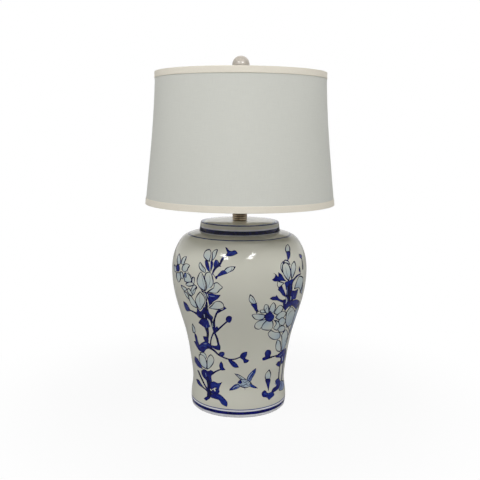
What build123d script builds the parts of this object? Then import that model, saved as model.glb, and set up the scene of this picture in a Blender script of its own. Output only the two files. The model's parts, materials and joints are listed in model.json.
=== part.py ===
"""A ginger jar table lamp, 30 inches tall, in millimetres.

A glazed baluster jar with a flat lid is clamped on a threaded pipe. The pipe carries a ribbed brass
neck, a harp saddle and a screw-shell lamp socket with a turn knob. A wire harp slips beside the
saddle's posts under two sliding ferrules and holds a belled fabric shade, which a ball finial
fastens to its stud.

+Z is up, and the origin is on the lamp's axis at the surface that it stands on. The harp lies in the
XZ plane, the switch knob points to the front, along -Y, and the cord leaves at the back.
"""

import os
from math import atan2, cos, degrees, radians, sin

from build123d import *

# ---------------------------------------------------------------- driving dimensions
# General clearances
GLUE_GAP = 0.05        # between parts that are bonded, screwed or pressed together
RUNNING_GAP = 0.1      # round a part that turns or slides in another
SEAT_GAP = 0.2         # under a part that lifts off

# Felt ring under the foot
FELT_THICKNESS = 1.0
FELT_INSET = 1.5       # from both edges of the foot ring

# Jar: the outer profile climbs from the foot's radius in steps, each a rise and a change of radius
FOOT_RADIUS = 104.2
BAND_RISE = 7.5
BAND_SPREAD = 1.4
FLARE_RISE = 11.5
FLARE_SPREAD = 0.6
WAIST_RISE = 37.0
WAIST_SPREAD = -3.9
CALF_RISE = 35.0
CALF_SPREAD = 2.7
FLANK_RISE = 75.0
FLANK_SPREAD = 13.0
CHEST_RISE = 80.0
CHEST_SPREAD = 23.0
BELLY_RISE = 54.0
BELLY_SPREAD = 6.9
SHOULDER_RISE = 41.0
SHOULDER_SPREAD = -5.2
TURN_RISE = 20.0
TURN_SPREAD = -8.8
EDGE_RISE = 17.0
EDGE_SPREAD = -14.3
COLLAR_RISE = 4.6
COLLAR_SPREAD = -10.6
SEAT_RISE = 4.4
SEAT_SPREAD = -19.4
JAR_WALL = 5.0
JAR_WALL_STATIONS = 24  # at which the inner wall is set in from the outline
FOOT_RING_WIDTH = 11.0
FOOT_RECESS = 13.5
JAR_FLOOR = 7.0
MOUTH_GAP = 5.9        # between the mouth and the lid's wall
MOUTH_WALL = 5.0
MOUTH_HEIGHT = 11.0
MOUTH_ROUNDING = 1.2

# Lid
LID_MARGIN = 1.2       # of the jar's seat outside the lid
LID_TAPER = 3.6        # by which the lid's wall leans in
LID_SIDE_HEIGHT = 21.6
LID_WALL = 4.5
LID_DOME = 1.6
LID_CROWN = 0.4        # by which the lid's top bulges between its edge and the flat pad
LID_PAD_RADIUS = 24.0
LID_EDGE_ROUNDING = 1.2
LID_LIP_ROUNDING = 1.0

# Threaded pipe with its washers and nuts
PIPE_RADIUS = 5.15
PIPE_BORE_RADIUS = 3.3
PIPE_HOLE_GAP = 0.4
PIPE_BELOW_NUT = 2.0
PIPE_IN_CAP = 8.0
PIPE_CHAMFER = 0.6
BASE_WASHER_RADIUS = 22.0
BASE_WASHER_THICKNESS = 2.0
LOCK_WASHER_RADIUS = 8.8
LOCK_WASHER_THICKNESS = 1.6
LOCK_WASHER_SLIT = 1.2
NUT_ACROSS_FLATS = 14.3
NUT_THICKNESS = 4.8
NUT_CHAMFER = 0.5

# Ribbed brass neck on the lid
NECK_WASHER_RADIUS = 13.0
NECK_WASHER_THICKNESS = 1.0
NECK_RADIUS = 16.0
NECK_RIB_HEIGHT = 4.5
NECK_RIB_COUNT = 4
NECK_GROOVE_RADIUS = 1.1
NECK_EDGE_ROUNDING = 0.8

# Harp saddle: a bent strap with a half-round post at each end
SADDLE_WIDTH = 12.0
SADDLE_THICKNESS = 1.8
SADDLE_FLAT = 14.0     # half of the flat that lies on the neck
SADDLE_LEDGE_INNER = 26.0
SADDLE_LEDGE_OUTER = 35.0
SADDLE_HEIGHT = 18.0   # from the neck to the ledges that carry the harp's legs
SADDLE_BEND_RADIUS = 4.0
LEG_SPACING = 31.0     # from the axis to each harp leg
POST_RADIUS = 2.45
POST_HEIGHT = 13.0

# Ferrules
FERRULE_WALL = 1.2
FERRULE_LENGTH = 16.0
FERRULE_CHAMFER = 0.3

# Harp bow
WIRE_RADIUS = 1.9
LEG_STRAIGHT = 20.0    # of plain wire above the posts, for the ferrules to slide on
BOW_HALF_WIDTH = 57.0
BOW_LEAN = 28.0        # degrees that each leg leans outwards
BOW_SIDE_RADIUS = 220.0
BOW_SIDE_TURN = 30.0   # degrees that the slack side arc turns before the tight arch
BOW_TOP_FLAT = 9.0     # half of the straight wire through the stud's block

# Harp stud
STUD_BLOCK_RADIUS = 7.5
STUD_BLOCK_HEIGHT = 9.0
STUD_RADIUS = 3.15
STUD_HEIGHT = 16.0
STUD_CHAMFER = 0.6

# Socket
CAP_BOSS_RADIUS = 8.0
CAP_BOSS_HEIGHT = 6.0
CAP_RADIUS = 17.2
CAP_HEIGHT = 22.0
CAP_WALL = 0.8
SET_SCREW_RADIUS = 1.5
SET_SCREW_HEAD_RADIUS = 2.5
SET_SCREW_HEAD = 1.8
SHELL_WALL = 0.6
SHELL_LENGTH = 48.0
SHELL_IN_CAP = 6.0
SHELL_BEAD_DROP = 12.0
LINER_WALL = 0.9
LINER_REVEAL = 1.2
BODY_INSET = 1.0
BODY_HEIGHT = 19.0
BODY_GAP = 0.2
TERMINAL_DEPTH = 3.0
TERMINAL_RADIUS = 1.6
TERMINAL_HEAD_RADIUS = 2.9
TERMINAL_HEAD = 1.4
TERMINAL_LENGTH = 5.0
TERMINAL_LEVEL = 6.0
SCREW_SHELL_WALL = 0.35
SCREW_SHELL_HEIGHT = 24.0
SCREW_SHELL_HOLE = 7.0
THREAD_GAP = 0.35      # between the bulb's base and the screw shell
CONTACT_RADIUS = 3.0
CONTACT_HEIGHT = 2.6
CONTACT_ROUNDING = 0.8

# Switch
SWITCH_LEVEL = 26.0    # from the socket's foot to the shaft's axis
SHAFT_RADIUS = 2.4
SHAFT_INNER_END = 5.0
SHAFT_HOLE_GAP = 0.8
KNOB_RADIUS = 6.5
KNOB_TIP_RADIUS = 5.6
KNOB_LENGTH = 14.0
KNOB_STANDOFF = 1.2
KNOB_RIBS = 12
KNOB_RIB_RADIUS = 0.8
KNOB_BORE_DEPTH = 9.0

# Bulb
BULB_BASE_RADIUS = 13.1
BULB_BASE_WALL = 0.4
BULB_BASE_LENGTH = 20.0
BULB_TIP_RADIUS = 4.6
BULB_TIP_HEIGHT = 1.2
BULB_COLLAR_RADIUS = 11.4
BULB_COLLAR_HEIGHT = 2.8
BULB_RADIUS = 30.0
BULB_GLASS_WALL = 0.9
BULB_GLASS_INSET = 6.0
BULB_LENGTH = 108.0
BULB_NECK_PULL = 24.0  # reach of the neck's curve handles

# Shade: radii of the fabric's outside
SHADE_TOP_RADIUS = 181.3
SHADE_BOTTOM_RADIUS = 203.6
SHADE_HEIGHT = 276.3
SHADE_LOWER_BELL = 9.5   # how far the curve's handles lie inside and outside the rims
SHADE_UPPER_BELL = 1.5
SHADE_TOP_OVER_HUB = 14.6
FABRIC_THICKNESS = 0.6
LINER_THICKNESS = 0.5
TRIM_THICKNESS = 0.7
TRIM_HEIGHT = 13.2
TRIM_INNER_HEIGHT = 4.0
TRIM_GAP = 0.2         # of each trim outside and inside the shade's wall
RING_WIRE_RADIUS = 1.6
RING_INSET = 6.5       # from each rim to its ring's centre
HUB_RADIUS = 12.7
HUB_THICKNESS = 4.2
HUB_HOLE_GAP = 0.35
ARM_COUNT = 3
ARM_FIRST_ANGLE = 90.0
ARM_RADIUS = 1.4
ARM_IN_HUB = 4.0
ARM_KNEE_INSET = 30.0  # from the ring to where each arm bends up
ARM_BEND_RADIUS = 40.0

# Finial
FINIAL_FLANGE_RADIUS = 8.0
FINIAL_FLANGE_HEIGHT = 2.0
FINIAL_STEM_RADIUS = 5.2
FINIAL_STEM_IN_BALL = 8.0
FINIAL_BORE_ROOF = 1.6
FINIAL_THREAD_GAP = 0.15
BALL_RADIUS = 18.5
BALL_FLAT_DROP = 17.4  # from the ball's centre to its flat underside
BALL_STANDOFF = 10.2   # of the flat underside over the hub
BALL_SOCKET_FLOOR = 1.0

# Cord outlet in the foot ring, at the back
OUTLET_HEIGHT = 7.8
BUSHING_BORE_RADIUS = 3.2
BUSHING_WALL = 1.1
BUSHING_FLANGE_RADIUS = 5.8
BUSHING_FLANGE = 1.6
BUSHING_TAIL = 1.0
BUSHING_ROUNDING = 0.5

# ---------------------------------------------------------------- levels, from the table up
jar_foot = FELT_THICKNESS
outline_points = [(FOOT_RADIUS, jar_foot)]
for rise, spread in (
    (BAND_RISE, BAND_SPREAD),
    (FLARE_RISE, FLARE_SPREAD),
    (WAIST_RISE, WAIST_SPREAD),
    (CALF_RISE, CALF_SPREAD),
    (FLANK_RISE, FLANK_SPREAD),
    (CHEST_RISE, CHEST_SPREAD),
    (BELLY_RISE, BELLY_SPREAD),
    (SHOULDER_RISE, SHOULDER_SPREAD),
    (TURN_RISE, TURN_SPREAD),
    (EDGE_RISE, EDGE_SPREAD),
    (COLLAR_RISE, COLLAR_SPREAD),
    (SEAT_RISE, SEAT_SPREAD),
):
    last_radius, last_level = outline_points[-1]
    outline_points.append((last_radius + spread, last_level + rise))
lid_seat_radius, lid_seat = outline_points[-1]
belly_radius = max(radius for radius, level in outline_points)
floor_underside = jar_foot + FOOT_RECESS
floor_top = floor_underside + JAR_FLOOR
lid_foot = lid_seat + SEAT_GAP
lid_edge = lid_foot + LID_SIDE_HEIGHT
lid_pad = lid_edge + LID_DOME
neck_foot = lid_pad + NECK_WASHER_THICKNESS
neck_height = NECK_RIB_HEIGHT * NECK_RIB_COUNT
saddle_foot = neck_foot + neck_height
saddle_ledge = saddle_foot + SADDLE_HEIGHT
post_top = saddle_ledge + POST_HEIGHT
saddle_nut_foot = saddle_foot + SADDLE_THICKNESS
cap_foot = saddle_nut_foot + NUT_THICKNESS
cap_top = cap_foot + CAP_HEIGHT
shell_foot = cap_top - SHELL_IN_CAP
shell_top = shell_foot + SHELL_LENGTH
body_foot = shell_foot + BODY_INSET
body_top = body_foot + BODY_HEIGHT
contact_top = body_top + CONTACT_HEIGHT
switch_level = cap_foot + SWITCH_LEVEL
bulb_foot = contact_top + SEAT_GAP
bulb_top = bulb_foot + BULB_LENGTH

base_washer_foot = floor_underside - BASE_WASHER_THICKNESS
lock_washer_foot = base_washer_foot - LOCK_WASHER_THICKNESS
base_nut_foot = lock_washer_foot - NUT_THICKNESS
pipe_foot = base_nut_foot - PIPE_BELOW_NUT
pipe_top = cap_foot + PIPE_IN_CAP

# The harp rises by its arcs: two lean each leg out, a slack one and a tight one close the top.
leg_foot = saddle_ledge + SEAT_GAP
wire_foot = post_top + SEAT_GAP
lean_top = wire_foot + LEG_STRAIGHT
lean_radius = (BOW_HALF_WIDTH - LEG_SPACING) / (2 * (1 - cos(radians(BOW_LEAN))))
side_foot = lean_top + 2 * lean_radius * sin(radians(BOW_LEAN))
side_turn = radians(BOW_SIDE_TURN)
side_inset = BOW_SIDE_RADIUS * (1 - cos(side_turn))
arch_radius = (BOW_HALF_WIDTH - side_inset - BOW_TOP_FLAT) / cos(side_turn)
bow_top = side_foot + BOW_SIDE_RADIUS * sin(side_turn) + arch_radius * (1 - sin(side_turn))
hub_seat = bow_top + STUD_BLOCK_HEIGHT / 2
hub_foot = hub_seat + RUNNING_GAP
hub_top = hub_foot + HUB_THICKNESS
shade_top = hub_foot + SHADE_TOP_OVER_HUB
shade_bottom = shade_top - SHADE_HEIGHT
fabric_top = shade_top - TRIM_THICKNESS - GLUE_GAP
fabric_bottom = shade_bottom + TRIM_THICKNESS + GLUE_GAP
finial_foot = hub_top + RUNNING_GAP
ball_foot = finial_foot + BALL_STANDOFF
ball_centre = ball_foot + BALL_FLAT_DROP

# ---------------------------------------------------------------- radii that follow from others
foot_recess_radius = FOOT_RADIUS - FOOT_RING_WIDTH
lid_lip_radius = lid_seat_radius - LID_MARGIN
lid_edge_radius = lid_lip_radius - LID_TAPER
mouth_radius = lid_lip_radius - LID_WALL - MOUTH_GAP - MOUTH_WALL
pipe_hole = PIPE_RADIUS + PIPE_HOLE_GAP
thread_hole = PIPE_RADIUS + GLUE_GAP
ferrule_bore = POST_RADIUS + RUNNING_GAP
shell_radius = CAP_RADIUS - CAP_WALL - GLUE_GAP
liner_radius = shell_radius - SHELL_WALL - GLUE_GAP
body_radius = liner_radius - LINER_WALL - BODY_GAP
screw_shell_radius = BULB_BASE_RADIUS + THREAD_GAP + SCREW_SHELL_WALL
shaft_hole = SHAFT_RADIUS + SHAFT_HOLE_GAP
knob_face = shell_radius + KNOB_STANDOFF
terminal_face = body_radius - TERMINAL_DEPTH
bushing_radius = BUSHING_BORE_RADIUS + BUSHING_WALL


def shade_radius(height, inset=0.0):
    """Return the fabric's outer radius at a height, drawn in by an inset."""
    rise = (height - shade_bottom) / SHADE_HEIGHT
    fall = 1 - rise
    lower_handle = SHADE_BOTTOM_RADIUS - SHADE_LOWER_BELL
    upper_handle = SHADE_TOP_RADIUS + SHADE_UPPER_BELL
    bell = SHADE_BOTTOM_RADIUS * fall**3 + 3 * lower_handle * fall**2 * rise
    bell += 3 * upper_handle * fall * rise**2 + SHADE_TOP_RADIUS * rise**3
    return bell - inset


def shade_line(low, high, inset):
    """Return the points of the shade's bell between two levels, drawn in by an inset."""
    steps = 8
    levels = [low + (high - low) * step / steps for step in range(steps + 1)]
    return [(shade_radius(level, inset), level) for level in levels]


def tube_sketch(outer, inner):
    """Draw a ring between two radii in the sketch being built."""
    Circle(outer)
    Circle(inner, mode=Mode.SUBTRACT)


os.makedirs("parts", exist_ok=True)


def keep(piece, label):
    """Label a finished piece and write its STEP file."""
    piece.part.label = label
    export_step(piece.part, f"parts/{label}.step")


# ---------------------------------------------------------------- jar
# The outline is one curve from the foot's edge to the flat that carries the lid.
with BuildLine() as jar_outline:
    Spline(*outline_points, tangents=[(0.25, 1), (-1, 0.2)])
jar_curve = jar_outline.edge()


def jar_radius(height):
    """Return the jar's outer radius at a height below its belly."""
    low, high = 0.0, 0.5
    for _ in range(40):
        middle = (low + high) / 2
        if (jar_curve @ middle).Y < height:
            low = middle
        else:
            high = middle
    return (jar_curve @ low).X


# The inner wall runs parallel to the outline, through points set in square to it.
inner_points = []
for station in range(JAR_WALL_STATIONS + 1):
    place = station / JAR_WALL_STATIONS
    inward = (jar_curve % place).rotate(Axis.Z, 90)
    inner_points.append((jar_curve @ place) + inward * JAR_WALL)
inner_roof = inner_points[-1].Y

outlet_level = jar_foot + OUTLET_HEIGHT
outlet_surface = jar_radius(outlet_level)
outlet_seat = outlet_surface - BUSHING_FLANGE
shank_length = outlet_seat - foot_recess_radius + BUSHING_TAIL
outlet_plane = Plane(origin=(0, outlet_seat, outlet_level), x_dir=(1, 0, 0), z_dir=(0, 1, 0))

with BuildPart() as jar_body:
    with BuildSketch(Plane.XZ):
        with BuildLine():
            add(jar_curve)
            Polyline((lid_seat_radius, lid_seat), (0, lid_seat), (0, jar_foot), (FOOT_RADIUS, jar_foot))
        make_face()
    revolve(axis=Axis.Z)
    with BuildSketch(Plane.XZ):
        with BuildLine():
            Spline(*inner_points)
            Polyline(
                inner_points[-1],
                (mouth_radius, inner_roof),
                (mouth_radius, lid_seat),
                (0, lid_seat),
                (0, inner_points[0].Y),
                inner_points[0],
            )
        make_face()
        with Locations((0, floor_top)):
            Rectangle(2 * belly_radius, lid_seat, align=(Align.MIN, Align.MIN), mode=Mode.INTERSECT)
    revolve(axis=Axis.Z, mode=Mode.SUBTRACT)
    with BuildSketch(Plane.XZ):
        with Locations((mouth_radius, lid_seat)):
            Rectangle(MOUTH_WALL, MOUTH_HEIGHT, align=(Align.MIN, Align.MIN))
        fillet(vertices().group_by(Axis.Y)[-1], MOUTH_ROUNDING)
    revolve(axis=Axis.Z)
    with BuildSketch(Plane.XY.offset(jar_foot)):
        Circle(foot_recess_radius)
    extrude(amount=FOOT_RECESS, mode=Mode.SUBTRACT)
    with BuildSketch(Plane.XY.offset(floor_underside)):
        Circle(pipe_hole)
    extrude(amount=JAR_FLOOR, mode=Mode.SUBTRACT)
    with BuildSketch(outlet_plane):
        Circle(bushing_radius + GLUE_GAP)
    extrude(amount=-shank_length, mode=Mode.SUBTRACT)
    with BuildSketch(outlet_plane):
        Circle(BUSHING_FLANGE_RADIUS + SEAT_GAP)
    extrude(amount=2 * BUSHING_FLANGE_RADIUS, mode=Mode.SUBTRACT)
keep(jar_body, "jar_body")

with BuildPart() as felt_ring:
    with BuildSketch():
        tube_sketch(FOOT_RADIUS - FELT_INSET, foot_recess_radius + FELT_INSET)
    extrude(amount=FELT_THICKNESS)
keep(felt_ring, "felt_ring")

with BuildPart() as cord_bushing:
    with BuildSketch(outlet_plane):
        Circle(BUSHING_FLANGE_RADIUS)
    extrude(amount=BUSHING_FLANGE)
    with BuildSketch(outlet_plane):
        Circle(bushing_radius)
    extrude(amount=-shank_length)
    with BuildSketch(outlet_plane.offset(BUSHING_FLANGE)):
        Circle(BUSHING_BORE_RADIUS)
    extrude(amount=-shank_length - BUSHING_FLANGE, mode=Mode.SUBTRACT)
    rim = cord_bushing.edges().filter_by(GeomType.CIRCLE).group_by(Axis.Y)[-1].sort_by(SortBy.RADIUS)[-1]
    fillet(rim, BUSHING_ROUNDING)
keep(cord_bushing, "cord_bushing")

# ---------------------------------------------------------------- lid
with BuildPart() as jar_lid:
    with BuildSketch(Plane.XZ):
        with BuildLine():
            Polyline(
                (lid_lip_radius - LID_WALL, lid_foot),
                (lid_lip_radius, lid_foot),
                (lid_edge_radius, lid_edge),
            )
            SagittaArc((lid_edge_radius, lid_edge), (LID_PAD_RADIUS, lid_pad), -LID_CROWN)
            Polyline(
                (LID_PAD_RADIUS, lid_pad),
                (pipe_hole, lid_pad),
                (pipe_hole, lid_edge - LID_WALL),
                (lid_edge_radius - LID_WALL, lid_edge - LID_WALL),
                (lid_lip_radius - LID_WALL, lid_foot),
            )
        make_face()
        fillet(vertices().sort_by_distance((lid_edge_radius, lid_edge))[0], LID_EDGE_ROUNDING)
        fillet(vertices().sort_by_distance((lid_lip_radius, lid_foot))[0], LID_LIP_ROUNDING)
    revolve(axis=Axis.Z)
keep(jar_lid, "jar_lid")

# ---------------------------------------------------------------- pipe and its hardware
with BuildPart() as threaded_pipe:
    with BuildSketch(Plane.XY.offset(pipe_foot)):
        tube_sketch(PIPE_RADIUS, PIPE_BORE_RADIUS)
    extrude(amount=pipe_top - pipe_foot)
    ends = threaded_pipe.edges().filter_by(GeomType.CIRCLE).group_by(SortBy.RADIUS)[-1]
    chamfer(ends, PIPE_CHAMFER)
keep(threaded_pipe, "threaded_pipe")

with BuildPart() as base_washer:
    with BuildSketch(Plane.XY.offset(base_washer_foot)):
        tube_sketch(BASE_WASHER_RADIUS, pipe_hole)
    extrude(amount=BASE_WASHER_THICKNESS)
keep(base_washer, "base_washer")

with BuildPart() as lock_washer:
    with BuildSketch(Plane.XY.offset(lock_washer_foot)):
        tube_sketch(LOCK_WASHER_RADIUS, thread_hole)
        Rectangle(
            2 * LOCK_WASHER_RADIUS,
            LOCK_WASHER_SLIT,
            align=(Align.MIN, Align.CENTER),
            mode=Mode.SUBTRACT,
        )
    extrude(amount=LOCK_WASHER_THICKNESS)
keep(lock_washer, "lock_washer")


def nut_sketch():
    """Draw a hexagonal nut round the pipe in the sketch being built."""
    RegularPolygon(NUT_ACROSS_FLATS / 2, 6, major_radius=False)
    Circle(thread_hole, mode=Mode.SUBTRACT)


with BuildPart() as base_nut:
    with BuildSketch(Plane.XY.offset(base_nut_foot)):
        nut_sketch()
    extrude(amount=NUT_THICKNESS)
    chamfer(base_nut.edges().filter_by(GeomType.LINE).filter_by(Axis.Z, reverse=True), NUT_CHAMFER)
keep(base_nut, "base_nut")

with BuildPart() as neck_washer:
    with BuildSketch(Plane.XY.offset(lid_pad)):
        tube_sketch(NECK_WASHER_RADIUS, pipe_hole)
    extrude(amount=NECK_WASHER_THICKNESS)
keep(neck_washer, "neck_washer")

with BuildPart() as neck:
    with BuildSketch(Plane.XY.offset(neck_foot)):
        tube_sketch(NECK_RADIUS, pipe_hole)
    extrude(amount=neck_height)
    rims = neck.edges().filter_by(GeomType.CIRCLE).group_by(SortBy.RADIUS)[-1]
    fillet(rims, NECK_EDGE_ROUNDING)
    with BuildSketch(Plane.XZ):
        for rib in range(1, NECK_RIB_COUNT):
            with Locations((NECK_RADIUS, neck_foot + rib * NECK_RIB_HEIGHT)):
                Circle(NECK_GROOVE_RADIUS)
    revolve(axis=Axis.Z, mode=Mode.SUBTRACT)
keep(neck, "neck")

# ---------------------------------------------------------------- harp saddle, its nut and the ferrules
saddle_middle = saddle_foot + SADDLE_THICKNESS / 2
ledge_middle = saddle_ledge - SADDLE_THICKNESS / 2
saddle_half = [
    (SADDLE_FLAT, saddle_middle),
    (SADDLE_LEDGE_INNER, ledge_middle),
    (SADDLE_LEDGE_OUTER, ledge_middle),
]
saddle_path = [(-x, z) for x, z in reversed(saddle_half)] + saddle_half

with BuildPart() as harp_saddle:
    with BuildSketch(Plane.XZ):
        with BuildLine():
            FilletPolyline(*saddle_path, radius=SADDLE_BEND_RADIUS)
        trace(line_width=SADDLE_THICKNESS)
    extrude(amount=SADDLE_WIDTH / 2, both=True)
    with BuildSketch(Plane.XY.offset(saddle_foot)):
        Circle(pipe_hole)
    extrude(amount=SADDLE_THICKNESS, mode=Mode.SUBTRACT)
    with BuildSketch(Plane.XY.offset(saddle_ledge)):
        with Locations((LEG_SPACING, 0), (-LEG_SPACING, 0)):
            Circle(POST_RADIUS)
        Rectangle(2 * LEG_SPACING + RUNNING_GAP, 2 * POST_RADIUS, mode=Mode.SUBTRACT)
    extrude(amount=POST_HEIGHT)
keep(harp_saddle, "harp_saddle")

with BuildPart() as saddle_nut:
    with BuildSketch(Plane.XY.offset(saddle_nut_foot)):
        nut_sketch()
    extrude(amount=NUT_THICKNESS)
    chamfer(saddle_nut.edges().filter_by(GeomType.LINE).filter_by(Axis.Z, reverse=True), NUT_CHAMFER)
keep(saddle_nut, "saddle_nut")

for side, leg_x in (("left", -LEG_SPACING), ("right", LEG_SPACING)):
    with BuildPart() as ferrule:
        with BuildSketch(Plane(origin=(leg_x, 0, leg_foot))):
            tube_sketch(ferrule_bore + FERRULE_WALL, ferrule_bore)
        extrude(amount=FERRULE_LENGTH)
        chamfer(ferrule.edges().filter_by(GeomType.CIRCLE).group_by(SortBy.RADIUS)[-1], FERRULE_CHAMFER)
    keep(ferrule, f"ferrule_{side}")

# ---------------------------------------------------------------- harp
with BuildPart() as harp_bow:
    with BuildLine(Plane.XZ) as bow_line:
        leg = Line((LEG_SPACING, wire_foot), (LEG_SPACING, lean_top))
        lean_out = JernArc(leg @ 1, (0, 1), lean_radius, -BOW_LEAN)
        lean_in = JernArc(lean_out @ 1, lean_out % 1, lean_radius, BOW_LEAN)
        side_arc = JernArc(lean_in @ 1, lean_in % 1, BOW_SIDE_RADIUS, BOW_SIDE_TURN)
        arch = JernArc(side_arc @ 1, side_arc % 1, arch_radius, 90 - BOW_SIDE_TURN)
        Line(arch @ 1, (0, bow_top))
        mirror(about=Plane.YZ)
    with BuildSketch(bow_line.wire() ^ 0):
        Circle(WIRE_RADIUS)
    sweep(path=bow_line.wire())
    with BuildSketch(Plane.XY.offset(leg_foot)):
        with Locations((LEG_SPACING, 0), (-LEG_SPACING, 0)):
            Circle(POST_RADIUS)
        Rectangle(2 * LEG_SPACING - RUNNING_GAP, 2 * POST_RADIUS, mode=Mode.INTERSECT)
    extrude(amount=wire_foot - leg_foot)
keep(harp_bow, "harp_bow")

with BuildPart() as harp_stud:
    with BuildSketch(Plane.XY.offset(hub_seat)):
        Circle(STUD_BLOCK_RADIUS)
    extrude(amount=-STUD_BLOCK_HEIGHT)
    with BuildSketch(Plane.XY.offset(hub_seat)):
        Circle(STUD_RADIUS)
    extrude(amount=STUD_HEIGHT)
    chamfer(harp_stud.edges().group_by(Axis.Z)[-1], STUD_CHAMFER)
    with BuildSketch(Plane.YZ.offset(-STUD_BLOCK_RADIUS)):
        with Locations((0, bow_top)):
            Circle(WIRE_RADIUS + GLUE_GAP)
    extrude(amount=2 * STUD_BLOCK_RADIUS, mode=Mode.SUBTRACT)
keep(harp_stud, "harp_stud")

# ---------------------------------------------------------------- socket
bell_radius = CAP_RADIUS - CAP_BOSS_RADIUS
bell_level = cap_foot + CAP_BOSS_HEIGHT + bell_radius
set_screw_plane = Plane(origin=(0, 0, cap_foot + CAP_BOSS_HEIGHT / 2), x_dir=(1, 0, 0), z_dir=(0, 1, 0))

with BuildPart() as socket_cap:
    with BuildSketch(Plane.XZ):
        with BuildLine():
            Polyline(
                (CAP_BOSS_RADIUS, bell_level - bell_radius + CAP_WALL),
                (thread_hole, bell_level - bell_radius + CAP_WALL),
                (thread_hole, cap_foot),
                (CAP_BOSS_RADIUS, cap_foot),
                (CAP_BOSS_RADIUS, bell_level - bell_radius),
            )
            CenterArc((CAP_BOSS_RADIUS, bell_level), bell_radius, -90, 90)
            Polyline(
                (CAP_RADIUS, bell_level),
                (CAP_RADIUS, cap_top),
                (CAP_RADIUS - CAP_WALL, cap_top),
                (CAP_RADIUS - CAP_WALL, bell_level),
            )
            CenterArc((CAP_BOSS_RADIUS, bell_level), bell_radius - CAP_WALL, -90, 90)
        make_face()
    revolve(axis=Axis.Z)
    with BuildSketch(set_screw_plane):
        Circle(SET_SCREW_RADIUS + GLUE_GAP)
    extrude(amount=CAP_BOSS_RADIUS, mode=Mode.SUBTRACT)
keep(socket_cap, "socket_cap")

with BuildPart() as socket_set_screw:
    with BuildSketch(set_screw_plane.offset(thread_hole)):
        Circle(SET_SCREW_RADIUS)
    extrude(amount=CAP_BOSS_RADIUS + GLUE_GAP - thread_hole)
    with BuildSketch(set_screw_plane.offset(CAP_BOSS_RADIUS + GLUE_GAP)):
        Circle(SET_SCREW_HEAD_RADIUS)
    extrude(amount=SET_SCREW_HEAD)
keep(socket_set_screw, "socket_set_screw")

shaft_plane = Plane(origin=(0, 0, switch_level), x_dir=(1, 0, 0), z_dir=(0, -1, 0))

with BuildPart() as socket_shell:
    with BuildSketch(Plane.XY.offset(shell_foot)):
        tube_sketch(shell_radius, shell_radius - SHELL_WALL)
    extrude(amount=SHELL_LENGTH)
    with BuildSketch(Plane.XZ):
        with Locations((shell_radius, shell_top - SHELL_BEAD_DROP)):
            Circle(SHELL_WALL)
    revolve(axis=Axis.Z)
    with BuildSketch(shaft_plane):
        Circle(shaft_hole)
    extrude(amount=CAP_RADIUS, mode=Mode.SUBTRACT)
keep(socket_shell, "socket_shell")

with BuildPart() as socket_liner:
    with BuildSketch(Plane.XY.offset(body_foot)):
        tube_sketch(liner_radius, liner_radius - LINER_WALL)
    extrude(amount=shell_top + LINER_REVEAL - body_foot)
    with BuildSketch(shaft_plane):
        Circle(shaft_hole)
    extrude(amount=CAP_RADIUS, mode=Mode.SUBTRACT)
keep(socket_liner, "socket_liner")

terminal_level = body_foot + TERMINAL_LEVEL
terminal_planes = [
    Plane(origin=(side * terminal_face, 0, terminal_level), x_dir=(0, 1, 0), z_dir=(side, 0, 0))
    for side in (-1, 1)
]

with BuildPart() as socket_body:
    with BuildSketch(Plane.XY.offset(body_foot)):
        Circle(body_radius)
    extrude(amount=BODY_HEIGHT)
    for plane in terminal_planes:
        with BuildSketch(plane):
            Rectangle(2 * body_radius, 2 * (TERMINAL_LEVEL + GLUE_GAP))
        extrude(amount=TERMINAL_DEPTH, mode=Mode.SUBTRACT)
        with BuildSketch(plane):
            Circle(TERMINAL_RADIUS + GLUE_GAP)
        extrude(amount=-TERMINAL_LENGTH - GLUE_GAP, mode=Mode.SUBTRACT)
    with BuildSketch(shaft_plane.offset(SHAFT_INNER_END - RUNNING_GAP)):
        Circle(SHAFT_RADIUS + RUNNING_GAP)
    extrude(amount=body_radius, mode=Mode.SUBTRACT)
keep(socket_body, "socket_body")

with BuildPart() as terminal_screws:
    for plane in terminal_planes:
        with BuildSketch(plane):
            Circle(TERMINAL_RADIUS)
        extrude(amount=-TERMINAL_LENGTH)
        with BuildSketch(plane):
            Circle(TERMINAL_HEAD_RADIUS)
        extrude(amount=TERMINAL_HEAD)
keep(terminal_screws, "terminal_screws")

with BuildPart() as screw_shell:
    with BuildSketch(Plane.XY.offset(body_top)):
        tube_sketch(screw_shell_radius, SCREW_SHELL_HOLE)
    extrude(amount=SCREW_SHELL_WALL)
    with BuildSketch(Plane.XY.offset(body_top)):
        tube_sketch(screw_shell_radius, screw_shell_radius - SCREW_SHELL_WALL)
    extrude(amount=SCREW_SHELL_HEIGHT)
keep(screw_shell, "screw_shell")

with BuildPart() as center_contact:
    with BuildSketch(Plane.XY.offset(body_top)):
        Circle(CONTACT_RADIUS)
    extrude(amount=CONTACT_HEIGHT)
    fillet(center_contact.edges().group_by(Axis.Z)[-1], CONTACT_ROUNDING)
keep(center_contact, "center_contact")

# ---------------------------------------------------------------- switch
with BuildPart() as switch_shaft:
    with BuildSketch(shaft_plane.offset(SHAFT_INNER_END)):
        Circle(SHAFT_RADIUS)
    extrude(amount=knob_face + KNOB_BORE_DEPTH - GLUE_GAP - SHAFT_INNER_END)
keep(switch_shaft, "switch_shaft")

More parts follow.
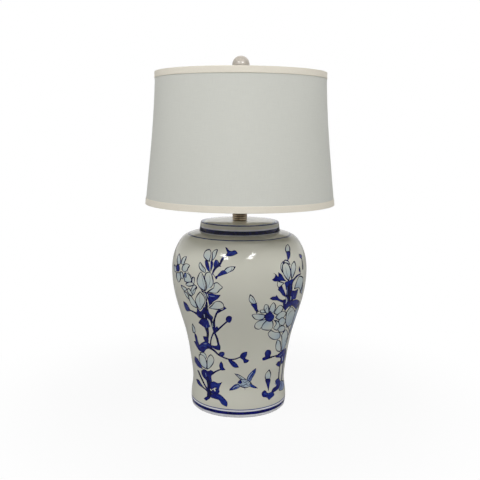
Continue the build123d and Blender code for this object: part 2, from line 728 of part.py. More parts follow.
with BuildPart() as switch_knob:
    with BuildSketch(shaft_plane.offset(knob_face)):
        Circle(KNOB_RADIUS)
    extrude(amount=KNOB_LENGTH, taper=degrees(atan2(KNOB_RADIUS - KNOB_TIP_RADIUS, KNOB_LENGTH)))
    with BuildSketch(shaft_plane.offset(knob_face)):
        with PolarLocations(KNOB_TIP_RADIUS, KNOB_RIBS):
            Circle(KNOB_RIB_RADIUS)
    extrude(amount=KNOB_LENGTH)
    with BuildSketch(shaft_plane.offset(knob_face)):
        Circle(SHAFT_RADIUS + GLUE_GAP)
    extrude(amount=KNOB_BORE_DEPTH, mode=Mode.SUBTRACT)
keep(switch_knob, "switch_knob")

# ---------------------------------------------------------------- bulb
collar_foot = bulb_foot + BULB_TIP_HEIGHT
bulb_base_foot = collar_foot + BULB_COLLAR_HEIGHT
bulb_base_top = bulb_base_foot + BULB_BASE_LENGTH
glass_foot = bulb_base_top - BULB_GLASS_INSET
glass_radius = BULB_BASE_RADIUS - BULB_BASE_WALL - GLUE_GAP
bulb_centre = bulb_top - BULB_RADIUS

with BuildPart() as bulb_contact:
    with BuildSketch(Plane.XY.offset(bulb_foot)):
        Circle(BULB_TIP_RADIUS)
    extrude(amount=BULB_TIP_HEIGHT)
    fillet(bulb_contact.edges().group_by(Axis.Z)[0], BULB_TIP_HEIGHT / 2)
keep(bulb_contact, "bulb_contact")

with BuildPart() as bulb_insulator:
    with BuildSketch(Plane.XZ):
        Polygon(
            (0, collar_foot),
            (BULB_TIP_RADIUS, collar_foot),
            (BULB_COLLAR_RADIUS, bulb_base_foot),
            (0, bulb_base_foot),
            align=None,
        )
    revolve(axis=Axis.Z)
keep(bulb_insulator, "bulb_insulator")

with BuildPart() as bulb_base:
    with BuildSketch(Plane.XY.offset(bulb_base_foot)):
        Circle(BULB_BASE_RADIUS)
    extrude(amount=BULB_BASE_LENGTH)
    with BuildSketch(Plane.XY.offset(bulb_base_foot + BULB_BASE_WALL)):
        Circle(BULB_BASE_RADIUS - BULB_BASE_WALL)
    extrude(amount=BULB_BASE_LENGTH, mode=Mode.SUBTRACT)
keep(bulb_base, "bulb_base")

with BuildPart() as bulb_glass:
    for inset, operation in ((0, Mode.ADD), (BULB_GLASS_WALL, Mode.SUBTRACT)):
        neck_radius = glass_radius - inset
        dome_radius = BULB_RADIUS - inset
        with BuildSketch(Plane.XZ):
            with BuildLine():
                Polyline((0, bulb_centre + dome_radius), (0, glass_foot), (neck_radius, glass_foot))
                Line((neck_radius, glass_foot), (neck_radius, bulb_base_top))
                Bezier(
                    (neck_radius, bulb_base_top),
                    (neck_radius, bulb_base_top + BULB_NECK_PULL),
                    (dome_radius, bulb_centre - BULB_NECK_PULL),
                    (dome_radius, bulb_centre),
                )
                CenterArc((0, bulb_centre), dome_radius, 0, 90)
            make_face()
        revolve(axis=Axis.Z, mode=operation)
keep(bulb_glass, "bulb_glass")

# ---------------------------------------------------------------- shade
for label, outer_inset, inner_inset in (
    ("shade_fabric", 0.0, FABRIC_THICKNESS),
    ("shade_liner", FABRIC_THICKNESS + GLUE_GAP, FABRIC_THICKNESS + GLUE_GAP + LINER_THICKNESS),
):
    outer_line = shade_line(fabric_bottom, fabric_top, outer_inset)
    inner_line = shade_line(fabric_bottom, fabric_top, inner_inset)
    with BuildPart() as shade_wall:
        with BuildSketch(Plane.XZ):
            with BuildLine():
                Spline(*outer_line)
                Line(outer_line[-1], inner_line[-1])
                Spline(*reversed(inner_line))
                Line(inner_line[0], outer_line[0])
            make_face()
        revolve(axis=Axis.Z)
    keep(shade_wall, label)

# Each trim is a strip folded over a rim: down the outside, across the edge and a little way inside.
wall_inset = FABRIC_THICKNESS + GLUE_GAP + LINER_THICKNESS
for label, rim_level, inward in (("shade_bottom_trim", shade_bottom, 1), ("shade_top_trim", shade_top, -1)):
    crease = rim_level + inward * TRIM_THICKNESS
    outer_end = rim_level + inward * TRIM_HEIGHT
    inner_end = rim_level + inward * TRIM_INNER_HEIGHT
    with BuildPart() as trim:
        with BuildSketch(Plane.XZ):
            Polygon(
                (shade_radius(rim_level, -TRIM_GAP - TRIM_THICKNESS), rim_level),
                (shade_radius(outer_end, -TRIM_GAP - TRIM_THICKNESS), outer_end),
                (shade_radius(outer_end, -TRIM_GAP), outer_end),
                (shade_radius(crease, -TRIM_GAP), crease),
                (shade_radius(crease, wall_inset + TRIM_GAP), crease),
                (shade_radius(inner_end, wall_inset + TRIM_GAP), inner_end),
                (shade_radius(inner_end, wall_inset + TRIM_GAP + TRIM_THICKNESS), inner_end),
                (shade_radius(rim_level, wall_inset + TRIM_GAP + TRIM_THICKNESS), rim_level),
                align=None,
            )
        revolve(axis=Axis.Z)
    keep(trim, label)

ring_inset = wall_inset + GLUE_GAP + RING_WIRE_RADIUS
top_ring_level = shade_top - RING_INSET
bottom_ring_level = shade_bottom + RING_INSET
top_ring_radius = shade_radius(top_ring_level, ring_inset)
bottom_ring_radius = shade_radius(bottom_ring_level, ring_inset)
hub_middle = hub_foot + HUB_THICKNESS / 2
arm_start = HUB_RADIUS - ARM_IN_HUB

with BuildPart() as shade_top_ring:
    with BuildSketch(Plane.XZ):
        with Locations((top_ring_radius, top_ring_level)):
            Circle(RING_WIRE_RADIUS)
    revolve(axis=Axis.Z)
    for arm in range(ARM_COUNT):
        arm_angle = ARM_FIRST_ANGLE + arm * 360 / ARM_COUNT
        with BuildLine(Plane.XZ.rotated((0, 0, arm_angle))) as arm_line:
            FilletPolyline(
                (arm_start, hub_middle),
                (top_ring_radius - ARM_KNEE_INSET, hub_middle),
                (top_ring_radius - RING_WIRE_RADIUS / 2, top_ring_level),
                radius=ARM_BEND_RADIUS,
            )
        with BuildSketch(arm_line.wire() ^ 0):
            Circle(ARM_RADIUS)
        sweep(path=arm_line.wire())
keep(shade_top_ring, "shade_top_ring")

with BuildPart() as spider_hub:
    with BuildSketch(Plane.XY.offset(hub_foot)):
        tube_sketch(HUB_RADIUS, STUD_RADIUS + HUB_HOLE_GAP)
    extrude(amount=HUB_THICKNESS)
    for arm in range(ARM_COUNT):
        arm_angle = ARM_FIRST_ANGLE + arm * 360 / ARM_COUNT
        arm_direction = Vector(1, 0, 0).rotate(Axis.Z, arm_angle)
        hole_start = Vector(0, 0, hub_middle) + arm_direction * (arm_start - GLUE_GAP)
        with BuildSketch(Plane(origin=hole_start, z_dir=arm_direction)):
            Circle(ARM_RADIUS + GLUE_GAP)
        extrude(amount=HUB_RADIUS, mode=Mode.SUBTRACT)
keep(spider_hub, "spider_hub")

with BuildPart() as shade_bottom_ring:
    with BuildSketch(Plane.XZ):
        with Locations((bottom_ring_radius, bottom_ring_level)):
            Circle(RING_WIRE_RADIUS)
    revolve(axis=Axis.Z)
keep(shade_bottom_ring, "shade_bottom_ring")

# ---------------------------------------------------------------- finial
insert_top = ball_foot + FINIAL_STEM_IN_BALL

with BuildPart() as finial_insert:
    with BuildSketch(Plane.XY.offset(finial_foot)):
        Circle(FINIAL_FLANGE_RADIUS)
    extrude(amount=FINIAL_FLANGE_HEIGHT)
    with BuildSketch(Plane.XY.offset(finial_foot)):
        Circle(FINIAL_STEM_RADIUS)
    extrude(amount=insert_top - finial_foot)
    with BuildSketch(Plane.XY.offset(finial_foot)):
        Circle(STUD_RADIUS + FINIAL_THREAD_GAP)
    extrude(amount=insert_top - FINIAL_BORE_ROOF - finial_foot, mode=Mode.SUBTRACT)
keep(finial_insert, "finial_insert")

with BuildPart() as finial_ball:
    with Locations((0, 0, ball_centre)):
        Sphere(BALL_RADIUS)
    split(bisect_by=Plane.XY.offset(ball_foot))
    with BuildSketch(Plane.XY.offset(ball_foot)):
        Circle(FINIAL_STEM_RADIUS + GLUE_GAP)
    extrude(amount=FINIAL_STEM_IN_BALL + BALL_SOCKET_FLOOR, mode=Mode.SUBTRACT)
keep(finial_ball, "finial_ball")

print(f"foot 0, lid edge {lid_edge:.1f}, neck {neck_foot:.1f} to {saddle_foot:.1f}, socket {cap_foot:.1f}")
print(f"shade {shade_bottom:.1f} to {shade_top:.1f}, top of the finial {ball_centre + BALL_RADIUS:.1f}")
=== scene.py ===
"""Looks of a ginger jar table lamp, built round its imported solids.

The lamp stands on the floor with its axis on Z, its front towards -Y and its harp in the XZ plane. Sizes
are in millimetres and become metres when a mesh is made.
"""

from __future__ import annotations

import json
import logging
import math
from collections.abc import Iterable, Sequence
from dataclasses import dataclass, field
from enum import Enum
from typing import Any

import bpy
import numpy as np
from mathutils import Matrix, Vector
from mathutils.geometry import delaunay_2d_cdt

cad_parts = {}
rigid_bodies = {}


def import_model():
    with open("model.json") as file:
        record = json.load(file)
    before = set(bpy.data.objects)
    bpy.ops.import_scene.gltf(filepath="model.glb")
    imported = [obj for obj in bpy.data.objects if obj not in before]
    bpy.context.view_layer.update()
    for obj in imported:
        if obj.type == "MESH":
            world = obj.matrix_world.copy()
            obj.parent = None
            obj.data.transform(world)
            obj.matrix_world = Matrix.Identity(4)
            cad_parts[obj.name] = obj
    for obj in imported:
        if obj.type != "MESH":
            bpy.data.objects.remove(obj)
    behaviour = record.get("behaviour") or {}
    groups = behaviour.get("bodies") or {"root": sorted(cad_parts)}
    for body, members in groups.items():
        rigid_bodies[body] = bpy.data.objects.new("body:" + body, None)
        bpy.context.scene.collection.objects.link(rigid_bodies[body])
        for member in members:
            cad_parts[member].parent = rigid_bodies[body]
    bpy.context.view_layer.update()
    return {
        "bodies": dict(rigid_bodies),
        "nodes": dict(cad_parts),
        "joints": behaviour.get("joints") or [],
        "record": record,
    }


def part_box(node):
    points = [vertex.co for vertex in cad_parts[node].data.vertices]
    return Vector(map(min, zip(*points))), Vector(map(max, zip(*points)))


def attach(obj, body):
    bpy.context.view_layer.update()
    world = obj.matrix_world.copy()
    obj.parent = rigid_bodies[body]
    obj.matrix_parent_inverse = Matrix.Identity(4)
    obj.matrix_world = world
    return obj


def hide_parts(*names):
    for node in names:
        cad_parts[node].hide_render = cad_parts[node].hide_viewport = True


LOG = logging.getLogger("ginger_jar_lamp")
MM = 0.001
FULL_TURN = 2 * math.pi
MERGE_DISTANCE = 1e-6
Point = tuple[float, float]
Colour = tuple[float, float, float, float]
WHITE: Colour = (1.0, 1.0, 1.0, 1.0)
JAR_RECESS = 93.2
# Radii and levels of the jar's section: outside from the foot up, and inside from the mouth down.
JAR_KNOTS: tuple[Point, ...] = (
    (104.2, 1.0), (105.6, 8.5), (106.2, 20.0), (102.3, 57.0), (105.0, 92.0), (118.0, 167.0), (141.0, 247.0),
    (147.9, 301.0), (142.7, 342.0), (133.9, 362.0), (119.6, 379.0), (109.0, 383.6), (89.6, 388.0),
)  # fmt: skip
JAR_INSIDE: tuple[Point, ...] = (
    (104.0, 378.6), (118.0, 373.5), (129.6, 359.0), (138.0, 340.5), (142.9, 301.0), (136.2, 248.0),
    (113.1, 168.0), (100.1, 93.0), (97.3, 57.0), (101.0, 21.5), (5.55, 21.5), (5.55, 14.5),
    (JAR_RECESS, 14.5),
)  # fmt: skip
FOOT_LEVEL = 1.0
SKIN_FOOT = 1.7


# ---------------------------------------------------------------- shader toolkit
def screen(red: int, green: int, blue: int) -> Colour:
    """Turn a screen colour, 0 to 255 a channel, into linear light."""

    def linear(channel: int) -> float:
        share = channel / 255
        return share / 12.92 if share <= 0.04045 else ((share + 0.055) / 1.055) ** 2.4

    return (linear(red), linear(green), linear(blue), 1.0)


class Signal:
    """A shader output that takes part in Python sums."""

    def __init__(self, sheet: "Sheet", socket: bpy.types.NodeSocket) -> None:
        """Wrap a socket of a sheet's node tree."""
        self.sheet = sheet
        self.socket = socket

    def _math(self, operation: str, first: "Signal | float", second: "Signal | float") -> "Signal":
        """Add a Math node for two values."""
        return self.sheet.node("ShaderNodeMath", {"operation": operation}, first, second)

    def __add__(self, other: "Signal | float") -> "Signal":
        """Add a value."""
        return self._math("ADD", self, other)

    def __sub__(self, other: "Signal | float") -> "Signal":
        """Take a value away."""
        return self._math("SUBTRACT", self, other)

    def __rsub__(self, other: float) -> "Signal":
        """Take this signal away from a number."""
        return self._math("SUBTRACT", other, self)

    def __mul__(self, other: "Signal | float") -> "Signal":
        """Multiply by a value."""
        return self._math("MULTIPLY", self, other)

    def __truediv__(self, other: "Signal | float") -> "Signal":
        """Divide by a value."""
        return self._math("DIVIDE", self, other)

    def __pow__(self, other: float) -> "Signal":
        """Raise to a power."""
        return self._math("POWER", self, other)

    def __abs__(self) -> "Signal":
        """Drop the sign."""
        return self.sheet.node("ShaderNodeMath", {"operation": "ABSOLUTE"}, self)

    __radd__ = __add__
    __rmul__ = __mul__

    def larger(self, other: "Signal | float") -> "Signal":
        """Take the larger of two values."""
        return self._math("MAXIMUM", self, other)

    def wave(self, period: float) -> "Signal":
        """Swing between 0 and 1 with a period."""
        angle = self * (FULL_TURN / period)
        return self.sheet.node("ShaderNodeMath", {"operation": "SINE"}, angle) * 0.5 + 0.5

    def span(self, low: float, high: float, start: float = 0.0, end: float = 1.0) -> "Signal":
        """Map a range smoothly onto another and hold it at its ends."""
        settings = {"interpolation_type": "SMOOTHSTEP"}
        return self.sheet.node("ShaderNodeMapRange", settings, self, low, high, start, end)


class Sheet:
    """The node tree of a material or of the world, filled by one method a node."""

    def __init__(self, owner: bpy.types.Material | bpy.types.World) -> None:
        """Take the owner's tree, with the shader and the output that it starts with."""
        self.owner = owner
        owner.use_nodes = True
        self.tree = owner.node_tree
        self.shader, self.out = (
            next(node for node in self.tree.nodes if node.type in kinds)
            for kinds in (("BSDF_PRINCIPLED", "BACKGROUND"), ("OUTPUT_MATERIAL", "OUTPUT_WORLD"))
        )

    def feed(self, socket: bpy.types.NodeSocket, value: Any) -> None:
        """Link a signal to a socket, or set the socket to a value."""
        if isinstance(value, Signal):
            self.tree.links.new(value.socket, socket)
        elif value is not None:
            socket.default_value = value

    def node(self, kind: str, settings: dict[str, Any] | None = None, *values: Any, **named: Any) -> Signal:
        """Add a node and feed its sockets.

        Args:
            kind: Blender's type name of the node.
            settings: Properties, set first; "stops" holds a ramp's places and colours, and "output" names
                the output to hand back.
            *values: Values or signals for the input sockets, in order.
            **named: Values or signals by socket name, with _ for a space.

        Returns:
            The chosen output, or the first one.
        """
        settings = dict(settings or {})
        stops = settings.pop("stops", None)
        output = settings.pop("output", 0)
        made = self.tree.nodes.new(kind)
        for key, value in settings.items():
            setattr(made, key, value)
        if stops:
            ramp = made.color_ramp.elements
            while len(ramp) < len(stops):
                ramp.new(1.0)
            for element, (place, colour) in zip(ramp, stops):
                element.position = place
                element.color = colour
        for socket, value in zip(made.inputs, values):
            self.feed(socket, value)
        for key, value in named.items():
            self.feed(made.inputs[key.replace("_", " ")], value)
        return Signal(self, made.outputs[output])

    def mix(self, factor: Signal | float, first: Any, second: Any) -> Signal:
        """Mix two colours, the second by the factor."""
        settings = {"data_type": "RGBA", "output": 2}
        return self.node("ShaderNodeMix", settings, factor, *[None] * 5, first, second)

    def place(self, scale: Sequence[float] = (1, 1, 1), uv: str | None = None) -> Signal:
        """Give the surface's own coordinates, in metres, stretched by a scale."""
        if uv:
            source = self.node("ShaderNodeUVMap", {"uv_map": uv})
        else:
            source = self.node("ShaderNodeTexCoord", {"output": "Object"})
        return self.node("ShaderNodeVectorMath", {"operation": "MULTIPLY"}, source, tuple(scale))

    def axis(self, letter: str, uv: str | None = None) -> Signal:
        """Give one coordinate of the surface in metres."""
        return self.node("ShaderNodeSeparateXYZ", {"output": letter}, self.place(uv=uv))

    def radius(self) -> Signal:
        """Give the distance from the lamp's axis in metres."""
        x, y = self.axis("X"), self.axis("Y")
        return (x * x + y * y) ** 0.5

    def noise(self, scale: float, detail: float = 2.0, where: Signal | None = None) -> Signal:
        """Add a noise texture."""
        where = where or self.place()
        return self.node("ShaderNodeTexNoise", None, where, None, scale, detail, 0.5)

    def bump(self, height: Signal, strength: float, distance: float) -> Signal:
        """Turn a height of 0 to 1 into a normal."""
        return self.node("ShaderNodeBump", None, Strength=strength, Distance=distance, Height=height)

    def surface(self, shader: Signal) -> None:
        """Let another shader than the one at the start give the surface."""
        self.feed(self.out.inputs["Surface"], shader)

    def finish(self, **sockets: Any) -> bpy.types.Material | bpy.types.World:
        """Feed the shader's sockets by name and hand the owner back."""
        for key, value in sockets.items():
            self.feed(self.shader.inputs[key.replace("_", " ")], value)
        return self.owner


# ---------------------------------------------------------------- finishes
@dataclass(frozen=True)
class Finish:
    """A surface finish that makes its own material.

    Attributes:
        name: Material name.
    """

    name: str

    def material(self) -> bpy.types.Material:
        """Give the finish's material, made at its first use and named apart from the frame's own."""
        name = f"{self.name}_finish"
        return bpy.data.materials.get(name) or self.dress(Sheet(bpy.data.materials.new(name)))

    def dress(self, sheet: Sheet) -> bpy.types.Material:
        """Wire the material."""
        raise NotImplementedError


class Cobalt(Enum):
    """Colours of the glaze by the depth of the cobalt under it, each with its place on the ramp."""

    BARE = (0.0, screen(218, 217, 204))
    MIST = (0.16, screen(197, 208, 208))
    WASH = (0.32, screen(154, 173, 198))
    MIDDLE = (0.6, screen(36, 66, 158))
    DEEP = (0.82, screen(10, 15, 110))
    INK = (0.97, screen(3, 4, 48))


@dataclass(frozen=True)
class Glaze(Finish):
    """Clear gloss glaze over pale porcelain and cobalt painting.

    Attributes:
        bands: Painted rings, each its low and high level in mm and its depth.
        pale: Whiter rings beside them, each its low and high level in mm.
        painted: Whether the piece carries the brushed painting in its "cobalt" attribute.
        edge: Half width in mm over which a ring fades.
        chalk: Colour of the whiter rings.
    """

    bands: tuple[tuple[float, float, float], ...]
    pale: tuple[Point, ...]
    painted: bool = False
    edge: float = 0.35
    chalk: Colour = screen(240, 239, 248)

    def rings(self, level: Signal, bands: Iterable[Sequence[float]]) -> Signal:
        """Draw soft-edged rings.

        Args:
            level: Level on the piece in metres.
            bands: Low and high level of each ring in mm, and its depth where it isn't 1.

        Returns:
            The depth of the rings.
        """
        drawn: list[Signal] = []
        for low, high, *depth in bands:
            rise = level.span((low - self.edge) * MM, (low + self.edge) * MM)
            fall = level.span((high - self.edge) * MM, (high + self.edge) * MM, 1, 0)
            drawn.append(rise * fall * (depth[0] if depth else 1.0))
        whole = drawn[0]
        for ring in drawn[1:]:
            whole = whole.larger(ring)
        return whole

    def dress(self, sheet: Sheet) -> bpy.types.Material:
        """Wire the material."""
        wobble = (sheet.noise(28, 2) - 0.5) * (1.1 * MM)
        level = sheet.axis("Z") + wobble
        cobalt = self.rings(level, self.bands)
        if self.painted:
            cobalt = cobalt.larger(
                sheet.node("ShaderNodeAttribute", {"attribute_name": "cobalt", "output": "Fac"})
            )
        pooled = cobalt * ((sheet.noise(150, 3) - 0.5) * 0.5 + 1.0)
        tint = sheet.node("ShaderNodeValToRGB", {"stops": [tone.value for tone in Cobalt]}, pooled)
        bare = cobalt.span(0.0, 0.2, 0.8, 0.0)
        return sheet.finish(
            Base_Color=sheet.mix(self.rings(level, self.pale) * bare, tint, self.chalk),
            Roughness=0.07,
            Normal=sheet.bump(sheet.noise(22, 1), 0.25, 0.4 * MM),
            IOR=1.26,
        )


@dataclass(frozen=True)
class Cloth(Finish):
    """Woven cloth, on a UV map that is laid out in metres.

    Attributes:
        colour: Thread colour.
        shadow: Darker colour, painted as shade in the gaps between the threads and also the real darker tone
            of thin slubs.
        pitch: Distance from thread to thread in mm.
        slant: Turn of the weave in degrees.
        nap: Height of the threads in mm.
    """

    colour: Colour = (0.6, 0.6, 0.55, 1.0)
    shadow: Colour = (0.4, 0.4, 0.38, 1.0)
    pitch: float = 0.7
    slant: float = 0.0
    nap: float = 0.12

    def dress(self, sheet: Sheet) -> bpy.types.Material:
        """Wire the material."""
        across, along = sheet.axis("X", "Wrap"), sheet.axis("Y", "Wrap")
        turn = math.radians(self.slant)
        warp = across * math.cos(turn) + along * math.sin(turn)
        weft = along * math.cos(turn) - across * math.sin(turn)
        drift = (sheet.noise(60, 1, sheet.place(uv="Wrap")) - 0.5) * (0.6 * MM)
        threads = (warp + drift).wave(self.pitch * MM) * 0.5 + (weft + drift).wave(self.pitch * MM) * 0.5
        joined = sheet.node("ShaderNodeCombineXYZ", None, warp, weft)
        slub_up, slub_across = (
            sheet.noise(1, 2, sheet.node("ShaderNodeVectorMath", {"operation": "MULTIPLY"}, joined, scale))
            for scale in ((1400, 45, 1), (38, 1300, 1))
        )
        slubs = slub_up * 0.5 + slub_across * 0.5
        # The darker colour is painted shade where the threads part, and real yarn tone where the slubs are
        # thin.
        shade = (threads * 0.35 + slubs * 0.65).span(0.28, 0.72)
        tint = sheet.mix(shade, self.shadow, self.colour)
        bump = sheet.bump(threads * 0.6 + slubs * 0.4, 0.5, self.nap * MM)
        return sheet.finish(
            Base_Color=tint,
            Roughness=0.86,
            Normal=bump,
            Sheen_Weight=0.12,
            Sheen_Roughness=0.6,
        )


@dataclass(frozen=True)
class Metal(Finish):
    """Plated, brushed or aged metal.

    Attributes:
        bright: Colour of the clean metal.
        dull: Colour where it has tarnished.
        roughness: Roughness of the clean metal.
        tarnish: Share of tarnish, 0 to 1.
        grain: Brushing lines, per metre along the axis.
        rings: Level of the first dark crease and distance to the next, in mm, where the piece has them.
    """

    bright: Colour = (0.5, 0.5, 0.5, 1.0)
    dull: Colour = (0.3, 0.3, 0.3, 1.0)
    roughness: float = 0.3
    tarnish: float = 0.3
    grain: float = 900.0
    rings: Point | None = None

    def dress(self, sheet: Sheet) -> bpy.types.Material:
        """Wire the material."""
        patches = sheet.noise(70, 4)
        brushing = sheet.noise(1, 2, sheet.place((60, 60, self.grain)))
        age = (patches * 0.7 + brushing * 0.3).span(0.62 - 0.3 * self.tarnish, 0.78 - 0.3 * self.tarnish)
        tint = sheet.mix(age * self.tarnish, self.bright, self.dull)
        if self.rings:
            first, pitch = self.rings
            crease = (sheet.axis("Z") - (first - pitch / 4) * MM).wave(pitch * MM).span(0.5, 0.95)
            tint = sheet.mix(crease * 0.8, tint, screen(22, 16, 11))
        return sheet.finish(
            Base_Color=tint,
            Metallic=1.0,
            Roughness=age * 0.2 + brushing * 0.1 + (self.roughness - 0.05),
            Normal=sheet.bump(brushing, 0.3, 0.04 * MM),
        )


@dataclass(frozen=True)
class Moulded(Finish):
    """Moulded, enamelled or lacquered surface with a faint mottle.

    Attributes:
        colour: Main colour.
        tone: Colour of the mottle.
        roughness: Roughness.
        coat: Weight of a clear coat.
        texture: Height of the surface texture in mm.
        scale: Texture features per metre.
    """

    colour: Colour = (0.1, 0.1, 0.1, 1.0)
    tone: Colour = (0.08, 0.08, 0.08, 1.0)
    roughness: float = 0.4
    coat: float = 0.0
    texture: float = 0.02
    scale: float = 400.0

    def dress(self, sheet: Sheet) -> bpy.types.Material:
        """Wire the material."""
        mottle = sheet.noise(self.scale, 3)
        cloud = sheet.noise(self.scale / 12, 2)
        tint = sheet.mix((mottle * 0.4 + cloud * 0.6).span(0.38, 0.66), self.colour, self.tone)
        return sheet.finish(
            Base_Color=tint,
            Roughness=mottle * 0.12 + (self.roughness - 0.06),
            Normal=sheet.bump(mottle, 0.4, self.texture * MM),
            Coat_Weight=self.coat,
            Coat_Roughness=0.12,
        )


@dataclass(frozen=True)
class Frosted(Finish):
    """White coated bulb glass."""

    def dress(self, sheet: Sheet) -> bpy.types.Material:
        """Wire the material."""
        coating = sheet.noise(300, 2)
        tint = sheet.mix(coating.span(0.3, 0.7), screen(236, 236, 231), screen(246, 246, 243))
        return sheet.finish(
            Base_Color=tint,
            Roughness=coating * 0.1 + 0.22,
            Subsurface_Weight=0.2,
            Coat_Weight=0.5,
            Coat_Roughness=0.1,
        )


class Finishes:
    """The lamp's finishes, by the piece that wears them."""

    LINEN = Cloth("linen", screen(224, 225, 217), screen(214, 215, 207), 0.7, 0.0, 0.1)
    BIAS = Cloth("bias_trim", screen(246, 240, 225), screen(237, 230, 214), 0.55, 45.0, 0.1)
    STYRENE = Moulded("styrene", screen(232, 230, 222), screen(224, 222, 213), 0.5, 0.0, 0.02, 260.0)
    ANTIQUE = Metal("antique_brass", screen(128, 112, 92), screen(58, 47, 37), 0.36, 0.75, 700.0)
    RIBBED = Metal("ribbed_brass", screen(198, 180, 156), screen(116, 99, 80), 0.33, 0.7, 700.0, (412.4, 4.5))
    BRASS = Metal("satin_brass", screen(214, 178, 110), screen(150, 116, 66), 0.26, 0.3, 1200.0)
    PLATED = Metal("plated_wire", screen(208, 178, 120), screen(140, 112, 72), 0.22, 0.25, 800.0)
    ZINC = Metal("zinc_plate", screen(196, 197, 196), screen(132, 133, 134), 0.34, 0.4, 900.0)
    ALUMINIUM = Metal("rolled_aluminium", screen(208, 209, 208), screen(160, 161, 162), 0.3, 0.25, 900.0)
    SOLDER = Metal("solder", screen(150, 151, 153), screen(98, 99, 102), 0.45, 0.5, 300.0)
    PHENOLIC = Moulded("phenolic", screen(34, 29, 26), screen(24, 20, 18), 0.28, 0.2, 0.02, 500.0)
    BLACK_GLASS = Moulded("black_glass", screen(22, 22, 26), screen(14, 14, 17), 0.12, 0.4, 0.01, 300.0)
    BOARD = Moulded("liner_board", screen(160, 132, 96), screen(138, 111, 78), 0.85, 0.0, 0.06, 900.0)
    BUSHING = Moulded("bushing_plastic", screen(70, 56, 45), screen(58, 46, 36), 0.45, 0.0, 0.02, 500.0)
    FELT = Moulded("felt", screen(52, 74, 58), screen(38, 57, 44), 0.95, 0.0, 0.3, 1500.0)
    ENAMEL = Moulded("white_enamel", screen(226, 223, 214), screen(214, 211, 201), 0.34, 0.25, 0.02, 300.0)
    LACQUER = Moulded("satin_lacquer", screen(198, 190, 179), screen(188, 179, 167), 0.38, 0.25, 0.03, 220.0)
    FROSTED = Frosted("frosted_glass")


# ---------------------------------------------------------------- modelling bench
def arc(centre: Point, radius: float, start: float, end: float, steps: int) -> list[Point]:
    """Give points along an arc."""
    angles = (math.radians(start + (end - start) * step / steps) for step in range(steps + 1))
    return [(centre[0] + radius * math.cos(a), centre[1] + radius * math.sin(a)) for a in angles]


